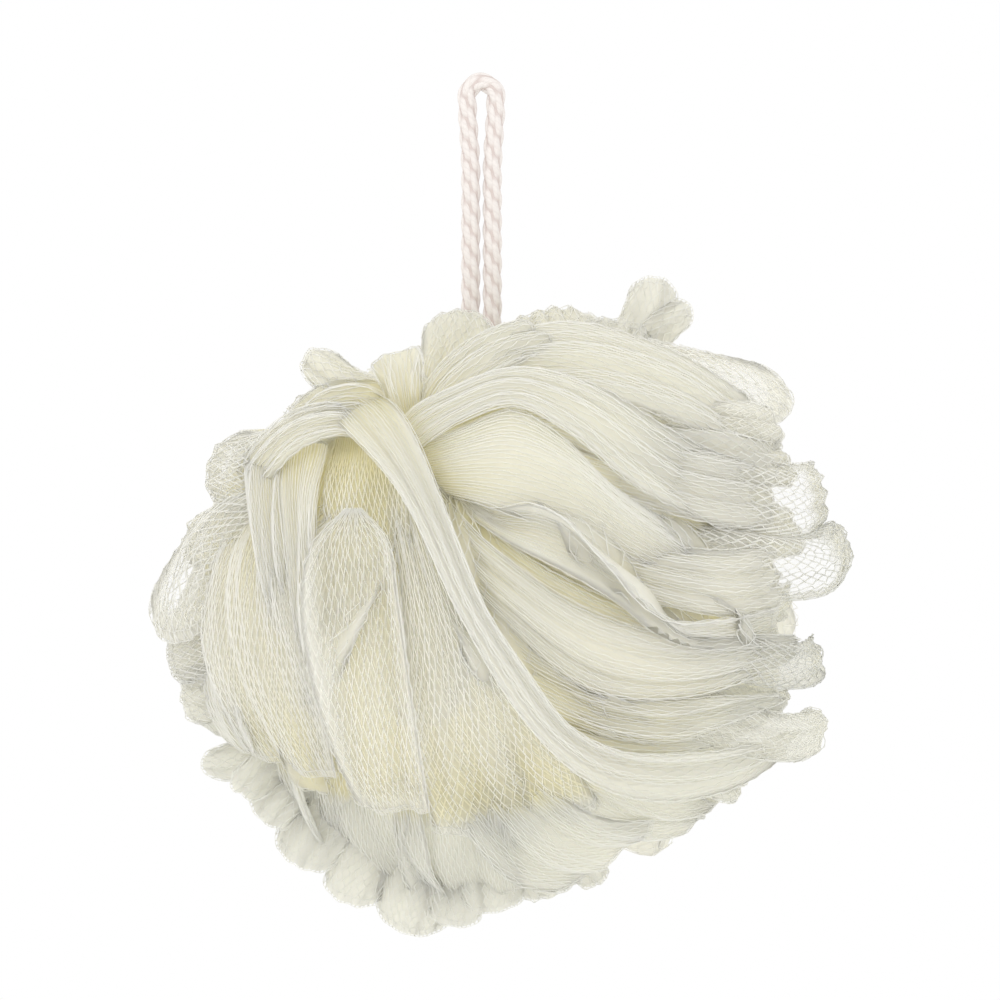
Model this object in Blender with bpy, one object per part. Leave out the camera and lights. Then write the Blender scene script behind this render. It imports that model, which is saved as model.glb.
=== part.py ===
"""Mesh bath pouf: a tube of netting gathered into a ball round a knotted hanging cord.

Metres, +Z up, and the viewer looks along +Y. The origin is the inner top of the
hanging loop, the point that rests on a hook. The netting is one piece: its ruffles
are double leaves of netting, each on a spine of its own, that all grow out of the
packed middle. The cord runs down through the netting to its knot.
"""

import math
from dataclasses import dataclass

import bmesh
import bpy
import numpy as np

# Netting
POUF_WIDTH = 0.150
POUF_DROP = 0.1136
POUF_SIDE = 0.0041
CORE_SHARE = 0.59
CORE_RADIUS = CORE_SHARE * POUF_WIDTH / 2.0
CORE_SQUASH = 0.96
LEAF_THICKNESS = 0.0052
NECK_WIDTH = 0.0085

# Hanging cord
CORD_DIAMETER = 0.0044
STRAND_GAP = 0.0004
LOOP_GAP = 0.0020
LOOP_NECK = 0.017

# Knot in the middle of the netting
KNOT_DIAMETER = 0.0150
KNOT_HEIGHT = 0.0120
KNOT_EDGE_SHARE = 0.29
KNOT_EDGE = KNOT_EDGE_SHARE * KNOT_HEIGHT

# Fit between pieces
CLEARANCE = 0.0003
CUT_MARGIN = 0.012

# Leaves are drawn on a ball of this width, in units that scale with POUF_WIDTH.
DRAWN_WIDTH = 150.0
UNIT = POUF_WIDTH / DRAWN_WIDTH
CENTRE = np.array((POUF_SIDE, 0.0, -POUF_DROP))
VIEWER = np.array((0.0, -1.0, 0.0))

# Form of a leaf, in drawn units where it is a length: the share of its neck's distance at
# which its root lies, the share of its free length over which it opens, the radius that its
# width curves with, and the waves along its two edges.
ROOT_SHARE = 0.55
OPENING_SHARE = 0.6
CURL_RADIUS = 66.0
EDGE_WAVES = 2.75
EDGE_WAVE_HEIGHT = 1.6
NECK_THICKNESS_SHARE = 0.55
RIM_START = 0.72
RIM_DEPTH_KEPT = 0.001
LENS_POWER = 0.4

# Faceting of a leaf and of the round pieces
LEAF_COLUMNS = 8
LEAF_ROWS = 14
STATIONS = 33
CORE_FACETS = 4
NETTING_GRAIN = 0.0011
NETTING_TRIANGLES = 11000
ROUND_SIDES = 24
QUARTER_STEPS = 4
HALF_STEPS = 12
STRAIGHT_STEPS = 22
BEND_STEPS = 9


@dataclass(frozen=True)
class Leaf:
    """One ruffle. Each place is (x, z, distance from the ball's middle) in drawn units."""

    neck: tuple
    mid: tuple
    tip: tuple
    half_width: float
    blunt: float = 0.9
    wrap: float = 1.0
    wave: float = 0.8
    puff: float = 1.0


FRONT_LEAVES = (
    # lobes round the top, from the cord to the right
    Leaf((-12, 40, 52), (-10, 52, 58), (-8.8, 65, 67), 8.2, blunt=1.0, puff=1.2),
    Leaf((2, 40, 52), (10.5, 54, 60), (10.5, 65.2, 67), 12.4, blunt=0.7, puff=1.2),
    Leaf((6, 38, 52), (21, 51, 60), (28, 62.6, 70), 9.0, blunt=0.6),
    Leaf((22, 44, 50), (30, 58, 66), (35, 72.4, 81), 5.6, blunt=0.9, puff=1.1),
    Leaf((26, 46, 56), (35, 60, 70.5), (42.4, 65.6, 79), 4.0, puff=0.8),
    Leaf((-5, 42, 56), (29, 51, 65), (62.8, 40.8, 77), 8.6, blunt=1.3),
    Leaf((0, 38, 57), (32, 41, 66), (61.5, 38.5, 76), 5.0, wave=1.2),
    Leaf((0, 34, 58), (35, 34, 66), (63.2, 32, 74), 6.0, wave=1.2),
    # lobes down the right side
    Leaf((10, 28, 56), (42, 26, 66), (71.0, 24.5, 77), 8.4, blunt=0.9, puff=1.3),
    Leaf((30, 10, 58), (50, 14, 66), (65, 17, 70), 6.0),
    Leaf((12, 18, 56), (48, 10, 66), (75.4, 16.5, 78.5), 7.0, blunt=1.2, puff=1.3),
    Leaf((10, 12, 56), (45, 3, 64), (63.5, 1.6, 68), 4.4),
    Leaf((5, 5, 56), (38, -7, 64), (69.8, -9.6, 73), 5.2, blunt=0.9),
    Leaf((10, 0, 54), (38, -15, 60), (62.8, -20.0, 68), 3.4),
    Leaf((5, -2, 56), (38, -21, 64), (71.4, -24.6, 77), 6.0, blunt=2.0),
    Leaf((10, -12, 54), (35, -30, 62), (54.2, -38.6, 69), 5.2, blunt=1.0),
    Leaf((8, -18, 54), (28, -35, 60), (44.4, -46.6, 67), 4.2),
    # lobes along the bottom, from the right to the left
    Leaf((5, -20, 50), (20, -36, 56), (30.5, -49.0, 64), 6.2, blunt=0.7),
    Leaf((5, -25, 48), (12, -45, 56), (22, -61.6, 68), 4.0, blunt=0.8),
    Leaf((2, -25, 48), (6, -45, 56), (12, -64.2, 68), 7.4, blunt=0.5),
    Leaf((-3, -25, 48), (-3, -46, 56), (-1, -67.8, 71), 7.2, blunt=0.6),
    Leaf((-6, -25, 48), (-8, -47, 56), (-11, -71, 74), 6.4, blunt=0.7),
    Leaf((-8, -25, 48), (-14, -48, 57), (-20.6, -73.0, 77), 9.2, blunt=1.1),
    Leaf((-14, -25, 48), (-25, -46, 57), (-34, -66.2, 76), 6.8, blunt=0.6),
    Leaf((-18, -22, 48), (-33, -40, 57), (-45.4, -57.6, 75), 7.6, blunt=0.7),
    Leaf((-22, -20, 48), (-40, -34, 57), (-52.4, -47.6, 74), 5.6, blunt=0.5),
    Leaf((-26, -16, 48), (-44, -30, 58), (-57.6, -41.6, 75), 4.6, blunt=0.8),
    # lobes up the left side
    Leaf((-30, -15, 48), (-48, -31, 60), (-66.2, -35, 76), 4.4, blunt=1.5, wrap=0.5),
    Leaf((-30, -5, 50), (-50, -15, 60), (-70.4, -20, 74.5), 6.8, blunt=0.7),
    Leaf((-30, 0, 50), (-52, -6, 60), (-73.4, -11.5, 76), 6.8, blunt=0.7),
    Leaf((-38, 22, 54), (-63, 12, 68), (-69.6, -8.4, 74), 8.4, blunt=0.9, puff=1.4),
    Leaf((-38, 20, 52), (-55, 17, 62), (-69.8, 14.6, 72), 6.0),
    Leaf((-30, 28, 54), (-48, 30, 62), (-64.8, 29.6, 72.5), 9.0, blunt=1.0, puff=1.4),
    Leaf((-25, 33, 54), (-38, 36, 60), (-47.6, 38.4, 65), 3.2, puff=0.8),
    Leaf((-22, 37, 55), (-34, 42, 61), (-46.2, 43, 67), 3.8, puff=1.0),
    Leaf((-18, 40, 54), (-30, 46.5, 62), (-42.6, 55.4, 73), 4.6, blunt=1.5),
    Leaf((-16, 40, 53), (-20, 45, 57), (-22.5, 50.6, 60), 5.8, blunt=0.8),
    # sheets that sweep down over the front from the gathers
    Leaf((-16, 30, 60), (-8, -10, 68.5), (-3, -52, 66.5), 13.0, blunt=0.7, wave=0.5),
    Leaf((-12, 28, 62), (0, -9, 72.5), (17, -45.5, 67), 11.0, blunt=0.8, wave=0.5),
    Leaf((-20, 30, 62), (-17, -3, 71.5), (-14, -51, 67), 6.4, blunt=0.9),
    Leaf((-28, 20, 58), (-31, -13, 73.5), (-21.5, -47.4, 69.5), 9.6, blunt=1.0, puff=1.5),
    Leaf((-24, 30, 60), (-22, 6, 68), (-20, -26, 66), 6.0, wave=1.2),
    Leaf((-46, 22, 60), (-54, -3, 68), (-50, -34, 66), 8.0, blunt=1.1, puff=1.3),
    Leaf((-50, 25, 61), (-61, -2, 68), (-57, -31, 67), 6.0, puff=0.8),
    Leaf((-44, 35, 60), (-46, 5, 66), (-43, -40, 66), 5.0, wave=1.2),
    Leaf((-38, 33, 60), (-41, 0, 68), (-36, -45, 66), 4.6, wave=1.2),
    Leaf((-27, 32, 60), (-36, 25, 64), (-39, 6, 63), 5.0, puff=1.3),
    # folds that spread to the right from the gathers
    Leaf((-8, 30, 60), (14, 33, 68), (37, 22, 66), 9.6, blunt=0.9, puff=1.5),
    Leaf((-10, 36, 59), (8, 46, 66), (33, 41, 67), 6.8, puff=1.2),
    Leaf((8, 36, 61), (30, 30, 69), (53, 24, 69), 6.2, wave=1.4),
    Leaf((34, 20, 61), (45, 26, 67), (51, 35, 69), 5.0),
    Leaf((0, 18, 60), (17, 13, 71), (38, -1, 69), 8.2, blunt=0.8, puff=1.5),
    Leaf((12, 12, 60), (30, 8, 68), (48, 3, 67), 6.4, puff=1.2),
    Leaf((-4, 14, 60), (10, 0, 68), (36, -9, 67), 7.2, wave=1.2),
    Leaf((-2, 5, 60), (14, -10, 66), (41, -17, 66), 7.0, wave=1.2),
    Leaf((8, -8, 59), (24, -20, 66), (47, -26, 66), 7.0, puff=1.2),
    Leaf((10, -18, 59), (30, -31, 66), (51, -34, 66), 6.4),
    Leaf((-16, 36, 58), (-28, 38, 63), (-39, 34, 64), 4.6, wave=1.4),
    # veils behind the lower edge of the front sheets
    Leaf((-40, -20, 57), (-46, -36, 64), (-48, -47, 69), 8.0, blunt=0.5),
    Leaf((-28, -30, 57), (-28, -48, 66), (-27, -62, 70), 9.0, blunt=0.6),
    Leaf((-5, -35, 57), (-4, -52, 66), (-3, -64, 69), 12.0, blunt=0.5),
    Leaf((12, -32, 57), (16, -48, 65), (18, -59, 67), 9.0, blunt=0.6),
    Leaf((18, -28, 57), (30, -37, 64), (37, -45, 65), 6.4, blunt=0.6),
)

# The far side's leaves stand in rings round the second gather:
# count, angles of neck, middle and tip from the gather, middle and tip reach, half width.
BACK_POLE = np.array((0.12, 0.96, -0.25))
BACK_RINGS = (
    (19, 0.62, 1.12, 1.72, 61.0, 60.0, 10.5),
    (16, 0.42, 0.84, 1.34, 65.0, 67.0, 10.0),
    (11, 0.22, 0.52, 0.98, 66.0, 71.0, 9.5),
    (6, 0.06, 0.22, 0.56, 63.0, 70.0, 8.5),
)
BACK_SHADE = 50.5
TOP_LEFT_SHADE = 43.0

BACK_NECK_REACH = 50.0

# Lobes that stand out behind the near side's rim, all the way round it: their count, how far
# they lie before and behind the ball's middle, their neck, middle and tip reach, half width.
RIM_LOBES = 17
RIM_DEPTH = 14.0
RIM_REACHES = (36.0, 48.0, 57.0)
RIM_OVERHANG = 3.5
RIM_HALF_WIDTH = 10.0

# The turn from one leaf to the next that spreads their variation evenly.
GOLDEN_TURN = math.pi * (3.0 - math.sqrt(5.0))


def unit_vector(vector):
    """The vector at length 1."""
    return vector / np.linalg.norm(vector)


def drawn_point(place):
    """A drawn place as a point of the near side, about the ball's middle."""
    x, z, reach = place
    return np.array((x, -math.sqrt(max(reach * reach - x * x - z * z, 0.0)), z))


def tucked(point, inset=0.0):
    """A far point drawn in until it lies behind the near side, as seen from the front."""
    spread = math.hypot(point[0], point[2])
    toward_top_left = max(point[2] - point[0], 0.0) / (math.sqrt(2.0) * spread)
    shade = BACK_SHADE + (TOP_LEFT_SHADE - BACK_SHADE) * toward_top_left ** 4 - inset
    if spread > shade:
        point = point * np.array((shade / spread, 1.0, shade / spread))
    return point


def ring_leaves():
    """The far side's leaves: spine points, facing, half width, blunt, wave and puff."""
    pole = unit_vector(BACK_POLE)
    side = unit_vector(np.cross(pole, (0.0, 0.0, 1.0)))
    over = np.cross(side, pole)

    def at(angle, round_it, reach):
        """A point at an angle from the pole and an angle round it."""
        out = math.cos(round_it) * side + math.sin(round_it) * over
        return reach * (math.cos(angle) * pole + math.sin(angle) * out)

    leaves = []
    for ring, (count, neck, mid, tip, mid_reach, tip_reach, half_width) in enumerate(BACK_RINGS):
        for index in range(count):
            swing = math.sin(GOLDEN_TURN * (index * 3 + ring * 5 + 1))
            sway = math.cos(GOLDEN_TURN * (index * 5 + ring * 7 + 2))
            start = 2.0 * math.pi * (index + 0.37 * ring) / count + 0.12 * swing
            bend = start + 0.20 * sway
            places = (
                at(neck, start, BACK_NECK_REACH),
                tucked(at(mid + 0.05 * sway, bend, mid_reach + 2.5 * swing), 1.5),
                tucked(at(tip + 0.10 * swing, bend + 0.22 * swing, tip_reach + 3.0 * sway)),
            )
            lean = 0.75 * math.sin(GOLDEN_TURN * (index * 2 + ring + 1))
            around = unit_vector(np.cross(pole, places[1]))
            facing = unit_vector(places[1]) + lean * around
            leaves.append((places, facing, half_width * (1.0 + 0.25 * sway), 0.9 + 0.3 * swing,
                           1.1 + 0.5 * sway, 1.15 + 0.3 * swing))
    for index in range(RIM_LOBES):
        swing = math.sin(GOLDEN_TURN * (index * 3 + 2))
        round_it = 2.0 * math.pi * (index + 0.25 * swing) / RIM_LOBES
        way = np.array((math.cos(round_it), 0.0, math.sin(round_it)))
        depth = np.array((0.0, RIM_DEPTH * swing, 0.0))
        neck_reach, mid_reach, tip_reach = RIM_REACHES
        places = (
            neck_reach * way + 0.2 * depth,
            mid_reach * way + 0.7 * depth,
            tucked(tip_reach * way, -RIM_OVERHANG) + depth,
        )
        lean = math.cos(GOLDEN_TURN * (index * 4 + 1))
        facing = np.array((0.0, 1.0, 0.0)) + 0.8 * lean * np.cross(way, VIEWER)
        leaves.append((places, facing, RIM_HALF_WIDTH * (1.0 + 0.15 * swing), 0.8, 2.0, 1.9))
    return leaves


class LeafShape:
    """A double leaf of netting: two plies that meet along its sides and round its tip."""

    def __init__(self, points, facing, half_width, blunt, wrap=1.0, wave=0.8, puff=1.0, turn=0.0):
        """Keeps the spine's points, from the packed middle to the tip, and the widths."""
        self.points = np.array(points)
        chords = np.linalg.norm(np.diff(self.points, axis=0), axis=1)
        self.knots = np.concatenate(((0.0,), np.cumsum(chords)))
        self.length = self.knots[-1]
        self.stations = np.linspace(0.0, self.length, STATIONS)
        self.faces = self.carried_faces(unit_vector(facing))
        self.half_width = half_width
        self.cap = min(blunt * half_width, 0.45 * self.length)
        self.wrap = wrap
        self.wave = wave
        self.puff = puff
        self.turn = turn

    def spine(self, along):
        """Points of the one cubic through the four spine points."""
        total = np.zeros(along.shape + (3,))
        for index, knot in enumerate(self.knots):
            weight = np.ones(along.shape)
            for other, other_knot in enumerate(self.knots):
                if other != index:
                    weight = weight * (along - other_knot) / (knot - other_knot)
            total += weight[..., None] * self.points[index]
        return total

    def heading(self, along):
        """The spine's direction at each distance along it."""
        ahead = self.spine(along + 0.5) - self.spine(along - 0.5)
        return ahead / np.linalg.norm(ahead, axis=-1, keepdims=True)

    def carried_faces(self, facing):
        """The leaf's face direction at each station, carried both ways from its middle untwisted."""
        headings = self.heading(self.stations)
        faces = np.zeros_like(headings)
        start = int(np.argmin(np.abs(self.stations - self.knots[2])))
        for order in (range(start, -1, -1), range(start, STATIONS)):
            face = facing
            for index in order:
                face = unit_vector(face - np.dot(face, headings[index]) * headings[index])
                faces[index] = face
        return faces

    def surface(self, across, along, side):
        """The ply on one side: across is -1 to 1, along is 0 to 1 from root to rim."""
        reach = self.length - self.cap * (1.0 - np.sqrt(1.0 - across * across))
        run = along * reach
        middle = self.spine(run)
        ahead = self.heading(run)
        face = np.stack([np.interp(run, self.stations, self.faces[:, axis]) for axis in range(3)], -1)
        width_way = np.cross(ahead, face)
        width_way /= np.linalg.norm(width_way, axis=-1, keepdims=True)
        face_way = np.cross(width_way, ahead)
        free = self.length - self.knots[1]
        opening = np.clip((run - self.knots[1]) / (OPENING_SHARE * free), 0.0, 1.0)
        opening = opening * opening * (3.0 - 2.0 * opening)
        neck = NECK_WIDTH / UNIT / 2.0
        half = neck + (self.half_width - neck) * opening
        sideways = across * half
        thickness = 0.5 * self.puff * LEAF_THICKNESS / UNIT
        toward_rim = np.clip((along - RIM_START) / (1.0 - RIM_START), 0.0, 1.0)
        lens = (1.0 - across * across) ** LENS_POWER
        lens = lens * np.sqrt(1.0 - (1.0 - RIM_DEPTH_KEPT) * toward_rim ** 2)
        swell = NECK_THICKNESS_SHARE + (1.0 - NECK_THICKNESS_SHARE) * opening
        phase = 2.0 * math.pi * EDGE_WAVES * along + self.turn
        edge_wave = EDGE_WAVE_HEIGHT * self.wave * np.sin(phase) * across * opening
        droop = -self.wrap * sideways ** 2 / (2.0 * CURL_RADIUS)
        lift = side * thickness * lens * swell + droop + edge_wave
        return middle + sideways[..., None] * width_way + lift[..., None] * face_way

    def fill(self, mesh):
        """Adds the closed leaf to a bmesh, in metres about the ball's middle."""
        across = -np.cos(np.linspace(0.0, math.pi, LEAF_COLUMNS + 1))
        along = np.sin(np.linspace(0.0, math.pi / 2.0, LEAF_ROWS))
        grid_across, grid_along = np.meshgrid(across, along, indexing="ij")
        front = CENTRE + UNIT * self.surface(grid_across, grid_along, 1.0)
        rear = CENTRE + UNIT * self.surface(grid_across, grid_along, -1.0)
        last_column, last_row = LEAF_COLUMNS, LEAF_ROWS - 1
        top = [[mesh.verts.new(point) for point in column] for column in front]
        low = [list(column) for column in top]
        for column in range(1, last_column):
            for row in range(last_row):
                low[column][row] = mesh.verts.new(rear[column, row])
        for column in range(last_column):
            for row in range(last_row):
                corners = ((column, row), (column + 1, row), (column + 1, row + 1), (column, row + 1))
                mesh.faces.new([top[i][j] for i, j in corners])
                mesh.faces.new([low[i][j] for i, j in reversed(corners)])
        root = [top[i][0] for i in range(last_column + 1)]
        root += [low[i][0] for i in range(last_column - 1, 0, -1)]
        mesh.faces.new(list(reversed(root)))


def leaf_shapes():
    """Every leaf of the netting, near side and far side."""
    shapes = []
    for index, leaf in enumerate(FRONT_LEAVES):
        neck, mid, tip = (drawn_point(place) for place in (leaf.neck, leaf.mid, leaf.tip))
        points = (ROOT_SHARE * neck, neck, mid, tip)
        facing = unit_vector(mid) + VIEWER
        shape = LeafShape(points, facing, leaf.half_width, leaf.blunt, leaf.wrap, leaf.wave,
                          leaf.puff, index * GOLDEN_TURN)
        shapes.append(shape)
    for index, (places, facing, *form) in enumerate(ring_leaves()):
        points = (ROOT_SHARE * places[0], *places)
        half_width, blunt, wave, puff = form
        shapes.append(LeafShape(points, facing, half_width, blunt, wave=wave, puff=puff,
                                turn=index * GOLDEN_TURN))
    return shapes


def fabric_material(name, colour, roughness):
    """A plain cloth-like material."""
    material = bpy.data.materials.new(name)
    material.use_nodes = True
    shader = material.node_tree.nodes["Principled BSDF"]
    shader.inputs["Base Color"].default_value = (*colour, 1.0)
    shader.inputs["Roughness"].default_value = roughness
    shader.inputs["Metallic"].default_value = 0.0
    return material


def mesh_object(name, mesh, material=None):
    """An object from a bmesh, with its faces pointing out."""
    bmesh.ops.recalc_face_normals(mesh, faces=mesh.faces[:])
    data = bpy.data.meshes.new(name)
    mesh.to_mesh(data)
    mesh.free()
    if material is not None:
        data.materials.append(material)
    data.shade_smooth()
    item = bpy.data.objects.new(name, data)
    bpy.context.scene.collection.objects.link(item)
    return item


def turned(profile, x, z):
    """A closed bmesh turned about a vertical axis from (radius, height) points."""
    mesh = bmesh.new()
    rings = []
    for radius, height in profile:
        if radius <= 0.0:
            rings.append([mesh.verts.new((x, 0.0, z + height))])
            continue
        rings.append([
            mesh.verts.new((
                x + radius * math.cos(2.0 * math.pi * step / ROUND_SIDES),
                radius * math.sin(2.0 * math.pi * step / ROUND_SIDES),
                z + height,
            ))
            for step in range(ROUND_SIDES)
        ])
    for lower, upper in zip(rings, rings[1:]):
        for step in range(ROUND_SIDES):
            after = (step + 1) % ROUND_SIDES
            if len(lower) == 1:
                mesh.faces.new((lower[0], upper[after], upper[step]))
            elif len(upper) == 1:
                mesh.faces.new((lower[step], lower[after], upper[0]))
            else:
                mesh.faces.new((lower[step], lower[after], upper[after], upper[step]))
    return mesh


def barrel_profile(radius, height, edge):
    """The outline of a barrel with rounded ends, from its bottom to its top."""
    half = height / 2.0
    points = [(0.0, -half)]
    for step in range(QUARTER_STEPS + 1):
        angle = math.pi / 2.0 * step / QUARTER_STEPS
        points.append((radius - edge + edge * math.sin(angle), -half + edge - edge * math.cos(angle)))
    for step in range(QUARTER_STEPS + 1):
        angle = math.pi / 2.0 * step / QUARTER_STEPS
        points.append((radius - edge + edge * math.cos(angle), half - edge + edge * math.sin(angle)))
    points.append((0.0, half))
    return points


def slot_cutter():
    """The way that the two strands take: a round-ended slot from the knot up past the netting."""
    radius = CORD_DIAMETER / 2.0 + CLEARANCE
    reach = (CORD_DIAMETER + STRAND_GAP) / 2.0
    outline = []
    for step in range(HALF_STEPS + 1):
        angle = -math.pi / 2.0 + math.pi * step / HALF_STEPS
        outline.append((reach + radius * math.cos(angle), radius * math.sin(angle)))
    for step in range(HALF_STEPS + 1):
        angle = math.pi / 2.0 + math.pi * step / HALF_STEPS
        outline.append((-reach + radius * math.cos(angle), radius * math.sin(angle)))
    mesh = bmesh.new()
    base = [mesh.verts.new((x, y, -POUF_DROP)) for x, y in outline]
    face = mesh.faces.new(base)
    moved = bmesh.ops.extrude_face_region(mesh, geom=[face])["geom"]
    rise = POUF_WIDTH / 2.0 + CUT_MARGIN
    lifted = [item for item in moved if isinstance(item, bmesh.types.BMVert)]
    bmesh.ops.translate(mesh, verts=lifted, vec=(0.0, 0.0, rise))
    return mesh


def keep_one_body(item):
    """Leaves only the largest shell, so crumbs and sealed pockets between leaves go."""
    mesh = bmesh.new()
    mesh.from_mesh(item.data)
    unseen = set(mesh.verts)
    shells = []
    while unseen:
        stack = [unseen.pop()]
        shell = []
        while stack:
            vert = stack.pop()
            shell.append(vert)
            for edge in vert.link_edges:
                other = edge.other_vert(vert)
                if other in unseen:
                    unseen.remove(other)
                    stack.append(other)
        shells.append(shell)
    shells.sort(key=len, reverse=True)
    loose = [vert for shell in shells[1:] for vert in shell]
    bmesh.ops.delete(mesh, geom=loose, context="VERTS")
    mesh.to_mesh(item.data)
    mesh.free()


def cut(item, tool, solver="EXACT"):
    """Takes a cutter's form out of an object; the cutter goes afterwards."""
    change = item.modifiers.new("Cut", "BOOLEAN")
    change.operation = "DIFFERENCE"
    change.solver = solver
    change.object = tool
    apply_modifiers(item)
    spent = tool.data
    bpy.data.objects.remove(tool)
    bpy.data.meshes.remove(spent)


def apply_modifiers(item):
    """Replaces an object's mesh with what its modifiers make of it."""
    depsgraph = bpy.context.evaluated_depsgraph_get()
    data = bpy.data.meshes.new_from_object(item.evaluated_get(depsgraph))
    item.modifiers.clear()
    old = item.data
    item.data = data
    bpy.data.meshes.remove(old)


def build_netting(material):
    """The gathered netting: leaves and packed middle in one solid, open for cord and knot."""
    core = bmesh.new()
    bmesh.ops.create_icosphere(core, subdivisions=CORE_FACETS, radius=CORE_RADIUS)
    bmesh.ops.scale(core, vec=(1.0, 1.0, CORE_SQUASH), verts=core.verts[:])
    bmesh.ops.translate(core, vec=CENTRE, verts=core.verts[:])
    for shape in leaf_shapes():
        shape.fill(core)
    netting = mesh_object("netting", core, material)
    blend = netting.modifiers.new("Blend", "REMESH")
    blend.mode = "VOXEL"
    blend.voxel_size = NETTING_GRAIN
    soften = netting.modifiers.new("Soften", "SMOOTH")
    soften.factor = 0.5
    soften.iterations = 2
    apply_modifiers(netting)
    keep_one_body(netting)
    thin = netting.modifiers.new("Thin", "DECIMATE")
    thin.ratio = NETTING_TRIANGLES / len(netting.data.loop_triangles)
    apply_modifiers(netting)
    cut(netting, mesh_object("slot", slot_cutter()))
    pocket = barrel_profile(KNOT_DIAMETER / 2.0 + CLEARANCE, KNOT_HEIGHT + 2.0 * CLEARANCE,
                            KNOT_EDGE + CLEARANCE)
    # The pocket's wall meets the slot's end at a grazing angle, which EXACT leaves unclosed.
    cut(netting, mesh_object("pocket", turned(pocket, 0.0, -POUF_DROP)), "MANIFOLD")
    keep_one_body(netting)
    netting.data.shade_smooth()
    return netting


def cord_route():
    """Points along the cord: up from the knot, round the loop and down again."""
    half_run = (CORD_DIAMETER + STRAND_GAP) / 2.0
    half_loop = (CORD_DIAMETER + LOOP_GAP) / 2.0
    top = CORD_DIAMETER / 2.0
    foot = -POUF_DROP + KNOT_HEIGHT / 2.0 + CLEARANCE
    corner = top - half_loop
    points = []
    for step in range(STRAIGHT_STEPS + 1):
        height = foot + (corner - foot) * step / STRAIGHT_STEPS
        share = min(max((height - corner + LOOP_NECK) / LOOP_NECK, 0.0), 1.0)
        share = share * share * (3.0 - 2.0 * share)
        points.append((-half_run - (half_loop - half_run) * share, 0.0, height))
    for step in range(1, BEND_STEPS):
        angle = math.pi * (1.0 - step / BEND_STEPS)
        points.append((half_loop * math.cos(angle), 0.0, corner + half_loop * math.sin(angle)))
    mirrored = [(-x, y, z) for x, y, z in reversed(points[: STRAIGHT_STEPS + 1])]
    return points + mirrored


def build_cord(material):
    """The cord's tube, one curve from the knot round the loop and back to the knot."""
    route = cord_route()
    curve = bpy.data.curves.new("hanging_cord", "CURVE")
    curve.dimensions = "3D"
    curve.bevel_depth = CORD_DIAMETER / 2.0
    curve.bevel_resolution = 3
    curve.use_fill_caps = True
    curve.render_resolution_u = 0
    spline = curve.splines.new("POLY")
    spline.points.add(len(route) - 1)
    for point, place in zip(spline.points, route):
        point.co = (*place, 1.0)
    spline.use_smooth = True
    curve.materials.append(material)
    item = bpy.data.objects.new("hanging_cord", curve)
    bpy.context.scene.collection.objects.link(item)
    return item


def build_knot(material):
    """The knot under the two strands, which the netting is gathered round."""
    profile = barrel_profile(KNOT_DIAMETER / 2.0, KNOT_HEIGHT, KNOT_EDGE)
    return mesh_object("cord_knot", turned(profile, 0.0, -POUF_DROP), material)


def main():
    """Clears the scene and builds the pouf."""
    for item in list(bpy.data.objects):
        bpy.data.objects.remove(item, do_unlink=True)
    netting = fabric_material("ivory netting", (0.86, 0.83, 0.68), 0.55)
    cord = fabric_material("braided cord", (0.84, 0.78, 0.71), 0.75)
    knot = fabric_material("knotted cord", (0.82, 0.76, 0.69), 0.75)
    build_netting(netting)
    build_cord(cord)
    build_knot(knot)


main()
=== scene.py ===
"""Looks of the mesh bath pouf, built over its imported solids.

The netting is drawn as a knitted net: every ruffle is a closed sleeve of net whose threads run
from the gathers to the tip and meet their neighbours in turn, so that the cells open towards the
tip. A fine inner ply fills each sleeve, and a packed middle fills the ball. The cord is plaited
from separate yarns. Lengths are in metres unless a name or a docstring says drawn units, which
are millimetres on a ball 150 mm across.
"""

import logging
import math
from dataclasses import dataclass, field
from enum import Enum

import bpy
import numpy as np
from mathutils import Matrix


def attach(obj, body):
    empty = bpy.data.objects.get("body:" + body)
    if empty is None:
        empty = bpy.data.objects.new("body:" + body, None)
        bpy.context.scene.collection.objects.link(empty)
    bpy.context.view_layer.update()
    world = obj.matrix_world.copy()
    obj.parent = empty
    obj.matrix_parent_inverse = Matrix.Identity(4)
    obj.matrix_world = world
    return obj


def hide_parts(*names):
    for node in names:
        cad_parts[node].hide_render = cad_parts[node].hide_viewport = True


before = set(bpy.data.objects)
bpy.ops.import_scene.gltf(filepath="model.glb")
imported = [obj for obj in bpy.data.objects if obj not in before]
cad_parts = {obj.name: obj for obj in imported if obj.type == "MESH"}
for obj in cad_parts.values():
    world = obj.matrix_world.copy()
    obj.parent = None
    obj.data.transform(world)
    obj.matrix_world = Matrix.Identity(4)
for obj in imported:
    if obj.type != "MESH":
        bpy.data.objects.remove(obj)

log = logging.getLogger("bath_pouf")

Vector3 = tuple[float, float, float]
Colour = tuple[float, float, float]

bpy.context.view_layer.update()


def unit(vectors: np.ndarray) -> np.ndarray:
    """Each vector of the last axis at length 1."""
    return vectors / np.linalg.norm(vectors, axis=-1, keepdims=True)


def smooth_step(share: np.ndarray) -> np.ndarray:
    """A share clipped to 0 to 1 and eased at both ends, 3 s squared less 2 s cubed."""
    share = np.clip(share, 0.0, 1.0)
    return share * share * (3.0 - 2.0 * share)


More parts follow.
